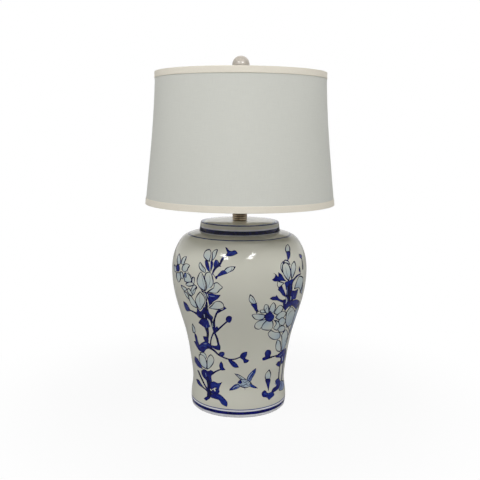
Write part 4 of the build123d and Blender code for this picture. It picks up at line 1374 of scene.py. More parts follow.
# ---------------------------------------------------------------- the painted jar
@dataclass
class Profile:
    """The jar's outer profile, one smooth curve through its knots.

    Attributes:
        knots: Radii and levels in mm, from the foot to the edge of the lid's seat.
        start: Direction of the curve at the foot.
        end: Direction of the curve at the seat.
    """

    knots: tuple[Point, ...]
    start: Point
    end: Point

    def __post_init__(self) -> None:
        """Solve the curve and sample it."""
        knots = np.array(self.knots)
        chords = np.hypot(*np.diff(knots, axis=0).T)
        count = len(knots)
        matrix, sums = np.zeros((count, count)), np.zeros((count, 2))
        matrix[0, 0] = matrix[-1, -1] = 1.0
        sums[0] = np.array(self.start) / np.hypot(*self.start)
        sums[-1] = np.array(self.end) / np.hypot(*self.end)
        for i in range(1, count - 1):
            before, after = chords[i - 1], chords[i]
            matrix[i, i - 1 : i + 2] = after, 2 * (before + after), before
            rise = (knots[i] - knots[i - 1]) * after / before + (knots[i + 1] - knots[i]) * before / after
            sums[i] = 3 * rise
        slopes = np.linalg.solve(matrix, sums)
        places, ways = [], []
        for i, chord in enumerate(chords):
            t = np.linspace(0, 1, 200, endpoint=i == count - 2)[:, None]
            first, last, pull, push = knots[i], knots[i + 1], slopes[i] * chord, slopes[i + 1] * chord
            places.append(
                (2 * t**3 - 3 * t**2 + 1) * first
                + (t**3 - 2 * t**2 + t) * pull
                + (3 * t**2 - 2 * t**3) * last
                + (t**3 - t**2) * push
            )
            ways.append(
                (6 * t**2 - 6 * t) * (first - last)
                + (3 * t**2 - 4 * t + 1) * pull
                + (3 * t**2 - 2 * t) * push
            )
        self.places, ways = np.vstack(places), np.vstack(ways)
        self.normals = np.column_stack((ways[:, 1], -ways[:, 0])) / np.hypot(*ways.T)[:, None]
        steps = np.hypot(*np.diff(self.places, axis=0).T)
        self.lengths = np.concatenate(([0.0], np.cumsum(steps)))

    def radius(self, level: np.ndarray | float) -> np.ndarray | float:
        """Give the radius at a level."""
        return np.interp(level, self.places[:, 1], self.places[:, 0])

    def length(self, level: np.ndarray | float) -> np.ndarray | float:
        """Give the length along the profile up to a level."""
        return np.interp(level, self.places[:, 1], self.lengths)

    def at(self, length: np.ndarray) -> np.ndarray:
        """Give radii and levels at lengths along the profile."""
        return np.column_stack([np.interp(length, self.lengths, column) for column in self.places.T])

    def normal(self, level: np.ndarray) -> np.ndarray:
        """Give the outward direction, radial and upward, at levels."""
        return np.column_stack([np.interp(level, self.places[:, 1], column) for column in self.normals.T])


@dataclass
class Stroke:
    """One brushstroke, seen from straight in front of its side of the jar.

    Attributes:
        outline: Closed outline, across and up in mm.
        depth: Depth of the cobalt where the stroke starts.
        fade: Depth where it ends.
        start: Where the stroke starts.
        end: Where the stroke ends.
    """

    outline: np.ndarray
    depth: float
    fade: float
    start: Point
    end: Point

    def tone(self, places: np.ndarray) -> np.ndarray:
        """Give the depth of the cobalt at places of the front view."""
        start, way = np.array(self.start), np.subtract(self.end, self.start)
        share = ((places - start) @ way) / max(float(way @ way), 1e-6)
        return self.depth + (self.fade - self.depth) * np.clip(share, 0, 1)


def around(radius: np.ndarray | float, angle: np.ndarray, level: np.ndarray | float) -> np.ndarray:
    """Give places round the lamp's axis, with angles in radians from the front."""
    places = np.broadcast_arrays(radius * np.sin(angle), -radius * np.cos(angle), level)
    return np.column_stack(places)


def inside(points: np.ndarray, outline: np.ndarray) -> np.ndarray:
    """Tell which points lie inside a closed outline.

    Args:
        points: Places to test.
        outline: Corners of the outline.

    Returns:
        A truth value for each point.
    """
    found = np.zeros(len(points), bool)
    near = np.all((points > outline.min(0)) & (points < outline.max(0)), axis=1).nonzero()[0]
    x, y = points[near].T
    odd = np.zeros(len(near), bool)
    for (ax, ay), (bx, by) in zip(outline, np.roll(outline, -1, axis=0)):
        if ay != by:
            odd ^= ((ay > y) != (by > y)) & (x < (bx - ax) * (y - ay) / (by - ay) + ax)
    found[near] = odd
    return found


@dataclass
class Brush:
    """Cobalt brush, guided in a view from straight in front of one side of the jar.

    A path is written as "across,up" places in mm, with ! behind a sharp corner.

    Attributes:
        line: Width of a petal's outline in mm.
        rim: Width of a leaf's dark rim in mm.
        ink: Depth of the petals' outlines.
        step: Length of a curve's spans in mm.
        strokes: Strokes laid so far.
    """

    line: float = 1.75
    rim: float = 1.0
    ink: float = 0.97
    step: float = 1.8
    strokes: list[Stroke] = field(default_factory=list)

    def curve(self, path: str, closed: bool = True) -> np.ndarray:
        """Bend a smooth line through a path's places.

        Args:
            path: The path.
            closed: Whether the last place joins the first.

        Returns:
            The curve's points.
        """
        marks = path.split()
        places = np.array([mark.rstrip("!").split(",") for mark in marks], float)
        count = len(places)
        sharp = [mark.endswith("!") or (not closed and i in (0, count - 1)) for i, mark in enumerate(marks)]
        chords = np.roll(places, -1, axis=0) - places
        spans = np.hypot(*chords.T)
        ways = chords / spans[:, None]
        share = (np.roll(spans, 1) / (spans + np.roll(spans, 1)))[:, None]
        slopes = ways * share + np.roll(ways, 1, axis=0) * (1 - share)
        points = []
        for i in range(count if closed else count - 1):
            after = (i + 1) % count
            pull = None if sharp[i] else slopes[i] * spans[i]
            push = None if sharp[after] else slopes[after] * spans[i]
            if pull is None:
                pull = chords[i] if push is None else 1.5 * chords[i] - 0.5 * push
            if push is None:
                push = 1.5 * chords[i] - 0.5 * pull
            t = np.linspace(0, 1, int(np.clip(spans[i] / self.step, 2, 7)), endpoint=False)[:, None]
            rise = 3 * t**2 - 2 * t**3
            points.append(places[i] + chords[i] * rise + pull * (t - 2 * t**2 + t**3) + push * (t**3 - t**2))
        if not closed:
            points.append(places[-1:])
        return np.vstack(points)

    def lay(self, outline: np.ndarray, depth: float, fade: float) -> None:
        """Lay a filled stroke that changes from its first point to the one farthest from it."""
        end = outline[np.argmax(np.hypot(*(outline - outline[0]).T))]
        self.strokes.append(Stroke(outline, depth, fade, tuple(outline[0]), tuple(end)))

    def within(self, outline: np.ndarray, line: float) -> np.ndarray:
        """Draw an outline in by a line's width, which swells and thins as the hand moves.

        Args:
            outline: Points of the outline.
            line: Mean width of the line in mm.

        Returns:
            Points of the inner outline, fewer than three where nothing is left inside.
        """
        around = np.roll(outline, -1, axis=0) - np.roll(outline, 1, axis=0)
        x, y = outline.T
        side = math.copysign(1.0, float(x @ np.roll(y, -1) - y @ np.roll(x, -1)))
        inward = np.column_stack((-around[:, 1], around[:, 0])) * side / np.hypot(*around.T)[:, None]
        width = line * (1 + 0.3 * np.sin(np.arange(len(outline)) * 0.45))
        inner = outline + inward * width[:, None]
        ahead = np.roll(outline, -1, axis=0) - outline
        gap = inner[:, None] - outline[None]
        share = np.clip(np.einsum("ijk,jk->ij", gap, ahead) / np.einsum("jk,jk->j", ahead, ahead), 0, 1)
        near = np.linalg.norm(gap - share[..., None] * ahead[None], axis=2).min(axis=1)
        return inner[(near > 0.9 * width) & inside(inner, outline)]

    def fill(self, path: str, line: float, ink: float, depth: float, fade: float) -> None:
        """Outline a shape and fill it from its first place to the one farthest from it."""
        outline = self.curve(path)
        self.lay(outline, ink, ink)
        filling = self.within(outline, line)
        if len(filling) > 3:
            whole = self.strokes[-1]
            self.strokes.append(Stroke(filling, depth, fade, whole.start, whole.end))

    def leaf(self, path: str, depth: float = 0.84, fade: float = 0.76) -> None:
        """Paint a leaf or a bud with a dark rim."""
        self.fill(path, self.rim, 0.98, depth, fade)

    def petal(self, path: str, base: float = 0.24, tip: float = 0.04) -> None:
        """Outline a petal and wash it from its base to its tip."""
        self.fill(path, self.line, self.ink, base, tip)

    def twig(self, path: str, *widths: float, depth: float = 0.93) -> None:
        """Draw a line whose width runs through the given widths.

        Args:
            path: Middle of the line.
            *widths: Widths in mm, spread evenly along it.
            depth: Depth of the cobalt.
        """
        line = self.curve(path, closed=False)
        way = np.gradient(line, axis=0)
        way /= np.hypot(*way.T)[:, None]
        run = np.concatenate(([0.0], np.cumsum(np.hypot(*np.diff(line, axis=0).T))))
        half = np.interp(run / run[-1], np.linspace(0, 1, len(widths)), widths)[:, None] / 2
        across = np.column_stack((-way[:, 1], way[:, 0])) * half
        tail, tip = line[0] - way[0] * half[0], line[-1] + way[-1] * half[-1]
        self.lay(np.vstack((tail, line + across, tip, (line - across)[::-1])), depth, depth)


# A line for each touch of the brush: the tool, its path, and then a petal's or leaf's two depths, or a twig's
# widths and, behind an @, its depth.
MOTIFS = {
    "top bloom": """
petal -60,342! -68,345 -73,351 -72,359 -67,365 -60,366 -57,361 -58,353
petal -57,343! -56,353 -55,361 -50,366 -44,367 -45,361 -48,353 -53,346
leaf -70,345! -64,343 -61,335 -59,321! -65,326 -69,334
leaf -56,347! -53,342 -54,332 -58,322! -59,334 -59,342 0.84 0.73
twig -59,343 -59,336 -59,328 1 1.4 0.6 @0.1
leaf -48,348! -43,346 -40,341 -36,334! -44,334 -51,331! -52,339 0.75 0.81
twig -32,353 -36,346 -40,338 -48,331 -52,325 -54,318 4.8 5 4 4.4 4.4 2
twig -45,345 -43,339 1 0.8 @0.5
twig -54,320 -50,315 -47,309 1.6 1.2 1
""",
    "high leaf": """
leaf -29,372! -25,371 -22,367 -16,365 -10,367 -3,361! -11,357 -21,355 -30,356! -25,362 -27,367 0.84 0.7
twig -21,361 -14,363 -6,362 1.4 1.8 0.6 @0.6
""",
    "tipped bud": """
petal -32,326! -26,333 -17,336 -7,336! -11,329 -20,324 -29,320 0.27 0.02
twig -15,336 -15,331 -19,326 0.5 0.9 0.5
leaf -47,312! -41,321 -32,328 -27,326 -23,322! -33,318 0.86 0.68
leaf -48,315 -44,316 -44,311 -47,308
""",
    "open flower": """
petal -132,324! -133,336 -127,348! -123,339 -125,326 0.21 0.12
petal -123,329! -121,338 -116,344 -109,346! -112,336 -118,327 0.19 0.06
petal -121,317! -118,327 -111,332 -102,330 -105,323 -108,317 -116,314 0.2 0.06
petal -134,307! -134,295 -128,287 -122,296 -122,309 0.22 0.08
petal -133,319! -139,321 -140,310 -138,305 -132,311 0.22 0.12
petal -125,312! -119,313 -116,307 -119,297 -123,300 0.2 0.1
leaf -132,324 -127,325 -125,319 -127,311 -132,309 -135,315 0.83 0.78
""",
    "petal cluster": """
petal -114,293! -116,303 -113,313 -106,313 -99,307 -98,298 -105,293 0.22 0.08
leaf -114,311 -111,313 -109,309 -111,302 -113,303 0.5 0.42
petal -98,302! -96,308 -92,308 -91,302 -95,292 -98,294 0.06 0.18
petal -112,288 -106,295 -98,296 -92,293 -98,287 -107,285 0.18 0.04
petal -123,284! -115,283 -109,280 -112,273 -119,275 0.06 0.18
petal -92,292 -86,288 -89,280 -95,269 -101,275 -98,284 0.08 0.22
petal -109,278 -104,282 -99,276 -96,266 -105,268 0.04 0.18
petal -117,273! -108,270 -104,263 -99,253! -108,258 0.08 0.2
petal -107,267! -101,267 -94,259 -85,240! -97,243 -104,254 0.06 0.22
twig -92,292 -88,288 -91,283 -95,278 -95,273 1.2 2 1
twig -108,318 -103,313 -94,303 0.6 1 0.5
""",
    "tulip": """
petal -73,320! -81,326 -83,334 -80,340 -74,334 -68,326 -69,320 0.2 0.08
twig -79,337 -75,330 -71,322 0.5 0.9 0.5
petal -70,281! -81,287 -87,300 -84,313 -78,321 -72,313 -68,298 0.25 0.04
petal -70,281! -67,297 -71,311 -68,320 -59,322 -53,312 -52,300 -57,290 0.25 0.04
twig -77,315 -74,302 -71,288 0.4 0.7 0.4
twig -60,315 -59,304 -64,290 0.4 0.7 0.4
petal -68,278! -59,286 -52,291 -52,300! -45,303 -38,298 -33,293 -38,287 -44,280 -57,279 0.24 0.02
twig -51,291 -60,285 -66,280 0.7 1.2 0.6
twig -86,295 -78,285 -71,278 1.1 1.8 0.9
twig -67,283 -62,287 -57,290 1.2 2.4 1 @0.02
""",
    "low petals": """
petal -79,282! -70,280 -65,268 -67,255 -75,239! -68,261 -71,273 0.12 0.24
petal -80,280! -88,268 -91,256 -87,245 -81,238 -73,248 -69,262 -72,272 0.04 0.24
twig -80,273 -81,260 -80,247 0.4 0.7 0.4
""",
    "mid leaves": """
leaf -70,281! -62,278 -56,279 -48,277 -37,277! -43,268 -52,261 -61,251! -64,264 0.86 0.74
twig -62,274 -55,272 -49,273 1.2 2.6 1 @0.5
twig -65,276 -63,269 1.8 1 @0.1
petal -63,245! -55,254 -47,262 -37,263 -31,257 -31,250 -41,244 -53,244 0.22 0.02
twig -63,249 -56,256 -52,259 1.1 1.8 0.9
leaf -25,248! -30,253! -33,246 -42,244 -46,239 -44,236 -37,240 0.85 0.76
twig -37,243 -44,238 -48,229 -51,217 -51,202 -50,190 3.2 4 3.6 4.8 5.3 4.8
leaf -118,248! -111,246 -105,238 -102,231 -111,226 -116,235
twig -107,232 -96,230 -84,226 -75,223 3.4 3.6 6.5 9.3
""",
    "trunk": """
leaf -88,234 -86,243! -80,235 -73,246! -64,244 -61,234 -53,225 -57,217 -68,222 -80,218 -88,224
twig -66,258 -67,245 -71,230 -72,217 -68,201 -65,184 -67,169 3.2 6.9 10.9 14.9 8.9 5.3 5.3
twig -64,229 -58,219 -54,206 -50,193 5.3 5.3 5.3 6.5
leaf -85,206! -76,219 -64,217 -59,203! -69,197 -77,201
leaf -26,228 -21,232 -15,230 -15,222 -19,216 -26,219
twig -72,229 -71,222 1.8 1.2 @0.2
twig -63,219 -61,212 -61,206 1.6 2.2 1 @0.14
twig -68,206 -67,198 0.8 1 @0.5
twig -55,212 -54,203 1 1.2 @0.2
twig -24,219 -36,206 -44,197 -50,191 3.6 3.4 4 5.3
leaf -45,206! -42,199 -46,195 -49,200
twig -51,191 -46,179 -43,166 -41,152 4 4.8 4.8 6.1
twig -52,190 -57,177 -59,166 -59,154 3.6 2.8 2.8 2.8
leaf -76,176! -68,177 -63,168 -68,160 -73,167
""",
    "knot": """
petal -99,201! -94,193 -92,180! -97,176 -100,188 0.08 0.24
leaf -95,180! -90,174 -87,161 -82,149! -90,153 -94,165
leaf -97,156! -90,158 -85,153 -78,160 -69,166 -61,162 -56,154 -69,146 -74,138 -85,138 -90,144
twig -84,146 -78,152 -71,153 1.2 1.8 1.2 @0.6
twig -74,158 -68,160 1 1 @0.3
leaf -58,158 -49,159 -40,164! -38,156 -41,150 -50,151 -57,154 0.75 0.81
twig -65,153 -53,148 -42,139 -31,134 -18,131 -8,132 3,137 6.1 4.8 4.4 3.6 3.2 3 2.8
leaf -41,144 -36,147 -30,146 -30,140 -35,135 -41,138 0.82 0.76
leaf 3,135 4,143 10,148 18,149! 17,140 14,134 22,129 17,123 11,123! 8,131 0.84 0.73
leaf -22,131 -13,129 -5,123 1,113! -10,113 -17,120 0.84 0.74
""",
    "lower bloom": """
petal -84,134! -74,138 -68,127 -74,121 0.08 0.18
petal -69,99! -79,102 -85,114 -84,130 -76,130 -70,124 -67,115
petal -68,98! -68,118 -65,130 -59,137 -52,129 -52,121 -58,108 0.24 0.02
leaf -96,119! -89,117 -83,108 -77,97! -88,97 -96,105
leaf -81,89 -73,98 -65,96 -59,100 -52,96 -58,86 -57,71 -65,62! -71,73 -78,79
twig -57,91 -47,100 -37,106 4.4 3.4 3
leaf -37,125! -33,119 -32,112 -27,106! -37,104 -41,113 0.84 0.74
twig -38,141 -34,142 1.2 1.2 @0.55
twig -15,125 -8,119 1.2 1.6 @0.6
twig 9,141 14,145 1.2 1.2 @0.6
twig -71,89 -69,79 1.6 1 @0.45
""",
    "foot leaves": """
twig -88,87 -82,76 -74,62 -66,52 4.8 4.4 3.6 4
leaf -94,63! -87,66 -81,60 -73,53! -83,53 -90,56
twig -78,54 -68,50 -62,45 3.2 3.6 6.1
twig -67,79 -63,64 -62,50 -65,35 8.9 8.9 11.7 6.9
leaf -59,41 -64,33 -70,28 -75,31! -69,37
leaf -62,66 -53,75 -44,73 -34,77! -40,64 -42,54! -49,61 -58,55 0.79 0.7
leaf -54,56 -46,60 -40,56 -43,49 -53,46 -60,49 0.85 0.76
leaf -62,39 -54,48 -41,49 -30,42 -23,33 -24,24! -35,28 -42,36 -51,37 0.82 0.72
twig -70,72 -68,63 1.2 1 @0.1
twig -52,67 -45,68 -41,72 1.2 1.8 0.8 @0.6
twig -60,55 -58,53 2.4 2 @0.04
twig -51,57 -50,54 3.2 2.4 @0.02
twig -47,44 -37,41 -28,33 1.6 2.8 1.2 @0.66
""",
    "swallow": """
petal 13,81! 4,85 -2,91 -9,99! 0,97 8,92 16,83
twig -3,95 4,90 10,83 0.6 1 0.5
leaf 17,80! 19,91 27,102 37,110! 36,99 30,89 26,80 0.45 0.7
twig 22,84 28,94 34,104 0.8 1.4 0.7
twig 26,83 32,92 35,99 0.6 1 0.5
twig 20,85 24,94 30,101 0.8 1.2 0.6 @0.2
leaf 6,71! -4,75 -14,68 -20,59! -10,61 1,66 0.4 0.8
twig -19,62 -12,68 -3,72 1 1.6 0.8
twig -14,62 -7,66 1,68 0.7 1.2 0.6
twig -12,64 -6,69 0,71 0.6 1 0.8 @0.24
petal -2,78 4,85 15,85 25,80 29,72 19,66 7,67 0.3 0.22
leaf 24,76! 33,70 42,62! 32,64 24,69 0.5 0.75
twig 27,73 34,68 40,63 0.6 1 0.5
leaf -1,80 5,83 8,78 4,75 1,76
twig 10,81 13,78 18,80 22,77 0.8 1.4 0.7
twig 7,73 11,71 15,74 20,71 25,73 0.8 1.4 0.7
twig 9,69 13,67 1 1.6 0.8
twig 13,68 14,62 0.7 1.2 0.6
twig 17,76 19,74 1 1.6 0.8
twig 3,70 8,71 0.8 1.4 0.7
""",
    "high bud": """
petal 98,355 94,363 97,370 101,372! 105,366 105,357 0.24 0.02
leaf 97,359 105,358 105,348 99,340! 98,349 0.84 0.76
leaf 125,349! 133,344 133,335! 128,340
twig 132,339 134,327 135,315 2 1.8 3
leaf 126,325! 129,316 129,308! 125,316
twig 130,307 122,306 114,300 108,294 2.4 4 4 4.8
""",
    "right tulip": """
petal 92,314! 84,328 86,339 90,342 90,330 0.2 0.06
petal 90,338! 93,344 99,342 106,331! 98,335 0.04 0.18
petal 102,298! 93,310 88,323 88,335 94,338 101,334 106,324 106,310 0.25 0.04
petal 108,300! 106,318 109,334 114,338 118,330 117,317 113,307 0.25 0.04
twig 95,329 97,318 101,306 0.4 0.7 0.4
leaf 66,307! 72,312 73,316 68,321! 75,317 79,312 79,321! 86,316 92,306 98,299! 86,302 78,302 71,303 0.85 0.7
petal 93,297! 85,301 79,303 77,295 81,287! 88,292 0.18 0.02
""",
    "right trunk": """
leaf 93,297 102,300 115,302! 111,291 110,278 97,281 95,290 0.75 0.8
twig 104,288 104,274 104,259 106,248 12.1 12.9 15.4 18.2
leaf 110,277 117,275 125,277! 123,267 118,254 109,258
leaf 79,284! 83,291 88,291! 92,282 99,264! 90,270 83,280
leaf 62,267! 68,271 75,271 77,274! 82,265 92,259 102,249! 88,255 78,261 69,263
leaf 92,261 106,254 123,252 131,234 121,228! 108,242 96,233! 91,248
twig 99,287 99,278 100,270 1 1.8 0.8 @0.5
twig 107,289 107,279 1.2 1 @0.6
twig 98,264 99,256 97,250 1.2 2.2 1 @0.14
twig 108,264 108,256 1.4 1 @0.2
twig 115,269 114,261 1.2 0.8 @0.55
twig 103,245 109,244 1.4 1 @0.6
petal 114,278! 119,292 127,304 135,299 135,280 129,263! 126,277 0.26 0.12
petal 130,265! 134,281 136,293 137,276 133,259 0.3 0.26
""",
    "left bud": """
petal 22,280! 29,274 33,266 36,257! 26,258 20,266 20,274 0.02 0.25
twig 23,272 27,268 31,261 0.5 0.9 0.5
leaf 23,258! 31,259 36,261! 37,253 38,246 42,240! 35,241 29,250
twig 37,243 36,238 3.2 3.2
""",
    "round flower": """
petal 52,236! 44,237 42,243 51,244 56,237 0.22 0.08
petal 56,234! 50,248 54,256 59,254 62,243 61,235 0.24 0.06
twig 53,241 57,248 60,252 0.6 1 0.5
petal 60,236! 63,249 71,258 76,251 74,240 68,233 0.25 0.04
petal 71,233! 77,244 85,250 93,242 89,234 79,228 0.24 0.06
petal 75,223! 83,232 94,234 100,228 94,218 81,216 0.25 0.06
petal 53,233! 40,236 26,234 32,224 41,221 53,225 0.25 0.04
petal 82,214! 90,220 99,209 94,198 85,203 0.24 0.08
petal 71,218! 77,207 72,197 81,190 86,200 81,214 0.25 0.08
petal 54,222! 41,220 33,213 32,204 41,199 51,208 58,217 0.25 0.02
petal 57,219! 48,209 47,200 56,195 68,195 72,205 69,217 0.27 0.04
leaf 54,233 59,235 64,240 69,233 73,227 71,218 65,214 58,217 53,225
""",
    "falling petals": """
petal 81,195! 90,200 99,191 95,182 85,185 0.22 0.08
petal 61,189 66,194 77,187 87,184 87,170 77,168 65,176 0.04 0.26
petal 81,168! 78,154 81,140 90,133! 91,148 88,163 0.22 0.06
petal 90,175! 100,186 107,168 104,148 97,136 91,135! 92,154 0.12 0.3
petal 99,229! 108,240 120,225 123,205 112,192 102,189! 98,209 0.12 0.28
petal 121,227! 128,234 127,208 118,180 107,166! 115,200 0.26 0.33
twig 103,219 108,227 116,230 0.6 1 0.5
twig 101,198 109,176 101,154 1.2 2 1
""",
    "dark buds": """
leaf 50,131 55,133 55,142 59,148 67,146 69,137 67,131 72,127! 63,126 57,125 51,125
twig 65,129 76,129 89,128 4 3.2 4
leaf 79,126 90,134 103,137! 104,115 99,102 90,103 90,119
twig 88,124 93,127 1.2 1.6 @0.5
twig 95,119 96,108 1.4 1 @0.2
leaf 80,107! 86,113 93,105 91,98
twig 91,111 89,92 88,75 88,61 4 2.6 2.6 4
twig 98,106 97,84 95,65 94,48 4 2.6 2.4 2.8
""",
    "slim bud": """
petal 66,101! 70,90 67,76! 58,79 57,91 62,98 0.02 0.27
leaf 58,80 68,78 67,63 65,50! 61,64
""",
    "ground leaves": """
leaf 94,62! 103,44 101,38 90,41! 88,53 0.5 0.4
leaf 71,45 74,53 82,56 80,69 85,72 90,67 92,54 88,47 81,45
twig 79,63 83,58 1.2 1.4 @0.5
leaf 50,51 56,55 64,47 74,47 78,38 71,34 66,31! 61,38 52,42 0.84 0.72
twig 55,48 62,45 71,44 1.6 3.2 1.8 @0.62
twig 61,49 64,41 65,33 0.7 1.2 0.6
twig 95,57 95,48 92,43 0.7 1.2 0.6
""",
}


@dataclass
class MagnoliaPainting:
    """Two magnolia branches with a swallow between them.

    Attributes:
        brush: The brush that paints them.
    """

    brush: Brush = field(default_factory=Brush)

    def touch(self, line: str) -> None:
        """Paint one touch, as its line says."""
        tool, *words = line.split()
        path = " ".join(word for word in words if "," in word)
        numbers = [float(word) for word in words if "," not in word and not word.startswith("@")]
        depths = {"depth": float(word[1:]) for word in words if word.startswith("@")}
        tools = {"petal": self.brush.petal, "leaf": self.brush.leaf, "twig": self.brush.twig}
        tools[tool](path, *numbers, **depths)

    def strokes(self) -> list[Stroke]:
        """Paint everything in order and give the strokes."""
        for motif in MOTIFS.values():
            for line in motif.strip().splitlines():
                self.touch(line)
        return self.brush.strokes


@dataclass
class PaintedJar:
    """Baluster jar whose cobalt painting is cut into its skin.

    Attributes:
        profile: Outer profile.
        rest: The remaining outline, from the seat's edge over the mouth, inside and under the floor to the
            recess's roof.
        foot: Outline of the foot ring's underside, from the recess to the skin's first point.
        recess: Radius of the recess under the foot.
        recess_levels: Its lower and upper level.
        outlet: Level of the cord outlet.
        outlet_seat: Distance from the axis of the seat for the bushing's flange.
        outlet_radii: Radii of that seat and of the hole.
        bands: Painted rings, each with its low and high level and its depth.
        pale: Whiter rings beside them.
        sides: Faces round the jar.
        rows: Faces up its side.
        seam: Angle in degrees, from the front, where the skin begins and ends.
        flat_radius: Radius in mm at which the flat skin has its true width.
    """

    profile: Profile
    rest: list[Point]
    foot: list[Point]
    recess: float
    recess_levels: Point = (1.0, 14.5)
    outlet: float = 8.8
    outlet_seat: float = 104.038
    outlet_radii: Point = (6.0, 4.4)
    bands: tuple[tuple[float, float, float], ...] = (
        (6.8, 13.8, 0.86),
        (17.4, 19.0, 0.8),
        (382.2, 383.4, 0.94),
    )
    pale: tuple[Point, ...] = ((0.0, 7.4), (13.2, 17.8))
    sides: int = 192
    rows: int = 112
    seam: float = -90.0
    flat_radius: float = 125.0

    def flat(self, places: np.ndarray, turn: float) -> np.ndarray:
        """Lay places of a front view on the flat skin."""
        radius = self.profile.radius(places[:, 1])
        angle = np.arcsin(np.clip(places[:, 0] / radius, -0.999, 0.999)) + math.radians(turn)
        start = math.radians(self.seam)
        angle = start + (angle - start) % FULL_TURN
        return np.column_stack((angle * self.flat_radius, self.profile.length(places[:, 1])))

    def front(self, flat: np.ndarray, turn: float) -> np.ndarray:
        """Give the front view of places on the flat skin, which undoes flat()."""
        places = self.profile.at(flat[:, 1])
        angle = flat[:, 0] / self.flat_radius - math.radians(turn)
        return np.column_stack((places[:, 0] * np.sin(angle), places[:, 1]))

    def solid(self, flat: np.ndarray) -> np.ndarray:
        """Put places of the flat skin on the jar, in mm."""
        radius, level = self.profile.at(flat[:, 1]).T
        return around(radius, flat[:, 0] / self.flat_radius, level)

    def turns(self) -> np.ndarray:
        """Give the angles of the skin's columns."""
        return math.radians(self.seam) + np.linspace(0, FULL_TURN, self.sides + 1)

    def cut(self, grid: np.ndarray, loops: Sequence[np.ndarray]) -> tuple[np.ndarray, np.ndarray]:
        """Triangulate a grid with loops cut into it.

        Args:
            grid: Grid points.
            loops: Closed loops of points.

        Returns:
            Places and triangles.
        """
        places, edges = [grid], []
        count = len(grid)
        for loop in loops:
            order = count + np.arange(len(loop))
            edges += list(zip(order.tolist(), np.roll(order, -1).tolist()))
            places.append(loop)
            count += len(loop)
        flat = np.vstack(places)
        result = delaunay_2d_cdt([Vector(place) for place in flat], edges, [], 0, 1e-4, False)
        return np.array([tuple(place) for place in result[0]]), np.array(result[2])

    def skin(self, strokes: Sequence[tuple[Stroke, float]]) -> tuple[np.ndarray, np.ndarray, np.ndarray]:
        """Make the painted skin.

        Args:
            strokes: Strokes, each with the side that it is painted on, in degrees.

        Returns:
            Places in mm, triangles, and the cobalt at each triangle's corners.
        """
        lengths = np.linspace(self.profile.length(self.foot[-1][1]), self.profile.lengths[-1], self.rows + 1)
        across, along = np.meshgrid(self.turns() * self.flat_radius, lengths)
        grid = np.column_stack((across.ravel(), along.ravel()))
        hole = self.flat(self.hole(self.outlet_radii[0])[:, (0, 2)] * (-1, 1), 180.0)
        outlines = [self.flat(stroke.outline, turn) for stroke, turn in strokes]
        flat, triangles = self.cut(grid, [hole, *outlines])
        middles = flat[triangles].mean(axis=1)
        kept = ~inside(middles, hole)
        triangles, middles = triangles[kept], middles[kept]
        cobalt = np.zeros(triangles.shape)
        for (stroke, turn), outline in zip(strokes, outlines):
            covered = inside(middles, outline)
            corners = flat[triangles[covered]].reshape(-1, 2)
            cobalt[covered] = stroke.tone(self.front(corners, turn)).reshape(-1, 3)
        return self.solid(flat), triangles, cobalt

    def hole(self, radius: float, reach: float | None = None) -> np.ndarray:
        """Give a loop of the cord outlet at the back."""
        turns = np.linspace(0, FULL_TURN, 32, endpoint=False)
        x, z = radius * np.cos(turns), self.outlet + radius * np.sin(turns)
        y = np.full(len(turns), reach) if reach else np.sqrt(self.profile.radius(z) ** 2 - x**2)
        return np.column_stack((x, y, z))

    def turned(self, outline: Sequence[Point]) -> tuple[np.ndarray, np.ndarray]:
        """Turn an outline round the axis and give its places and faces."""
        turns = self.turns()
        index = np.arange(len(outline) * len(turns)).reshape(len(outline), -1)
        quads = np.stack((index[:-1, :-1], index[:-1, 1:], index[1:, 1:], index[1:, :-1]), axis=-1)
        return np.vstack([around(radius, turns, level) for radius, level in outline]), quads.reshape(-1, 4)

    def recess_wall(self, loop: np.ndarray) -> tuple[np.ndarray, np.ndarray]:
        """Give the places and faces of the recess's wall, with the outlet's loop cut into it."""
        rows = np.linspace(*self.recess_levels, 5)
        across, along = np.meshgrid(self.turns() * self.recess, rows)
        turn = math.pi - np.arcsin(loop[:, 0] / self.recess)
        edge = np.column_stack((turn * self.recess, loop[:, 2]))
        flat, triangles = self.cut(np.column_stack((across.ravel(), along.ravel())), [edge])
        kept = ~inside(flat[triangles].mean(axis=1), edge)
        return around(self.recess, flat[:, 0] / self.recess, flat[:, 1]), triangles[kept][:, ::-1]

    def bore(self, inner: np.ndarray) -> tuple[np.ndarray, np.ndarray]:
        """Give the places and faces of the outlet, from the skin over its seat to its inner loop."""
        seat, bore = self.outlet_radii
        rings = [self.hole(seat), self.hole(seat, self.outlet_seat), self.hole(bore, self.outlet_seat), inner]
        index = np.arange(len(rings) * len(inner)).reshape(len(rings), -1)
        ahead = np.roll(index, -1, axis=1)
        quads = np.stack((index[:-1], index[1:], ahead[1:], ahead[:-1]), axis=-1)
        return np.vstack(rings), quads.reshape(-1, 4)

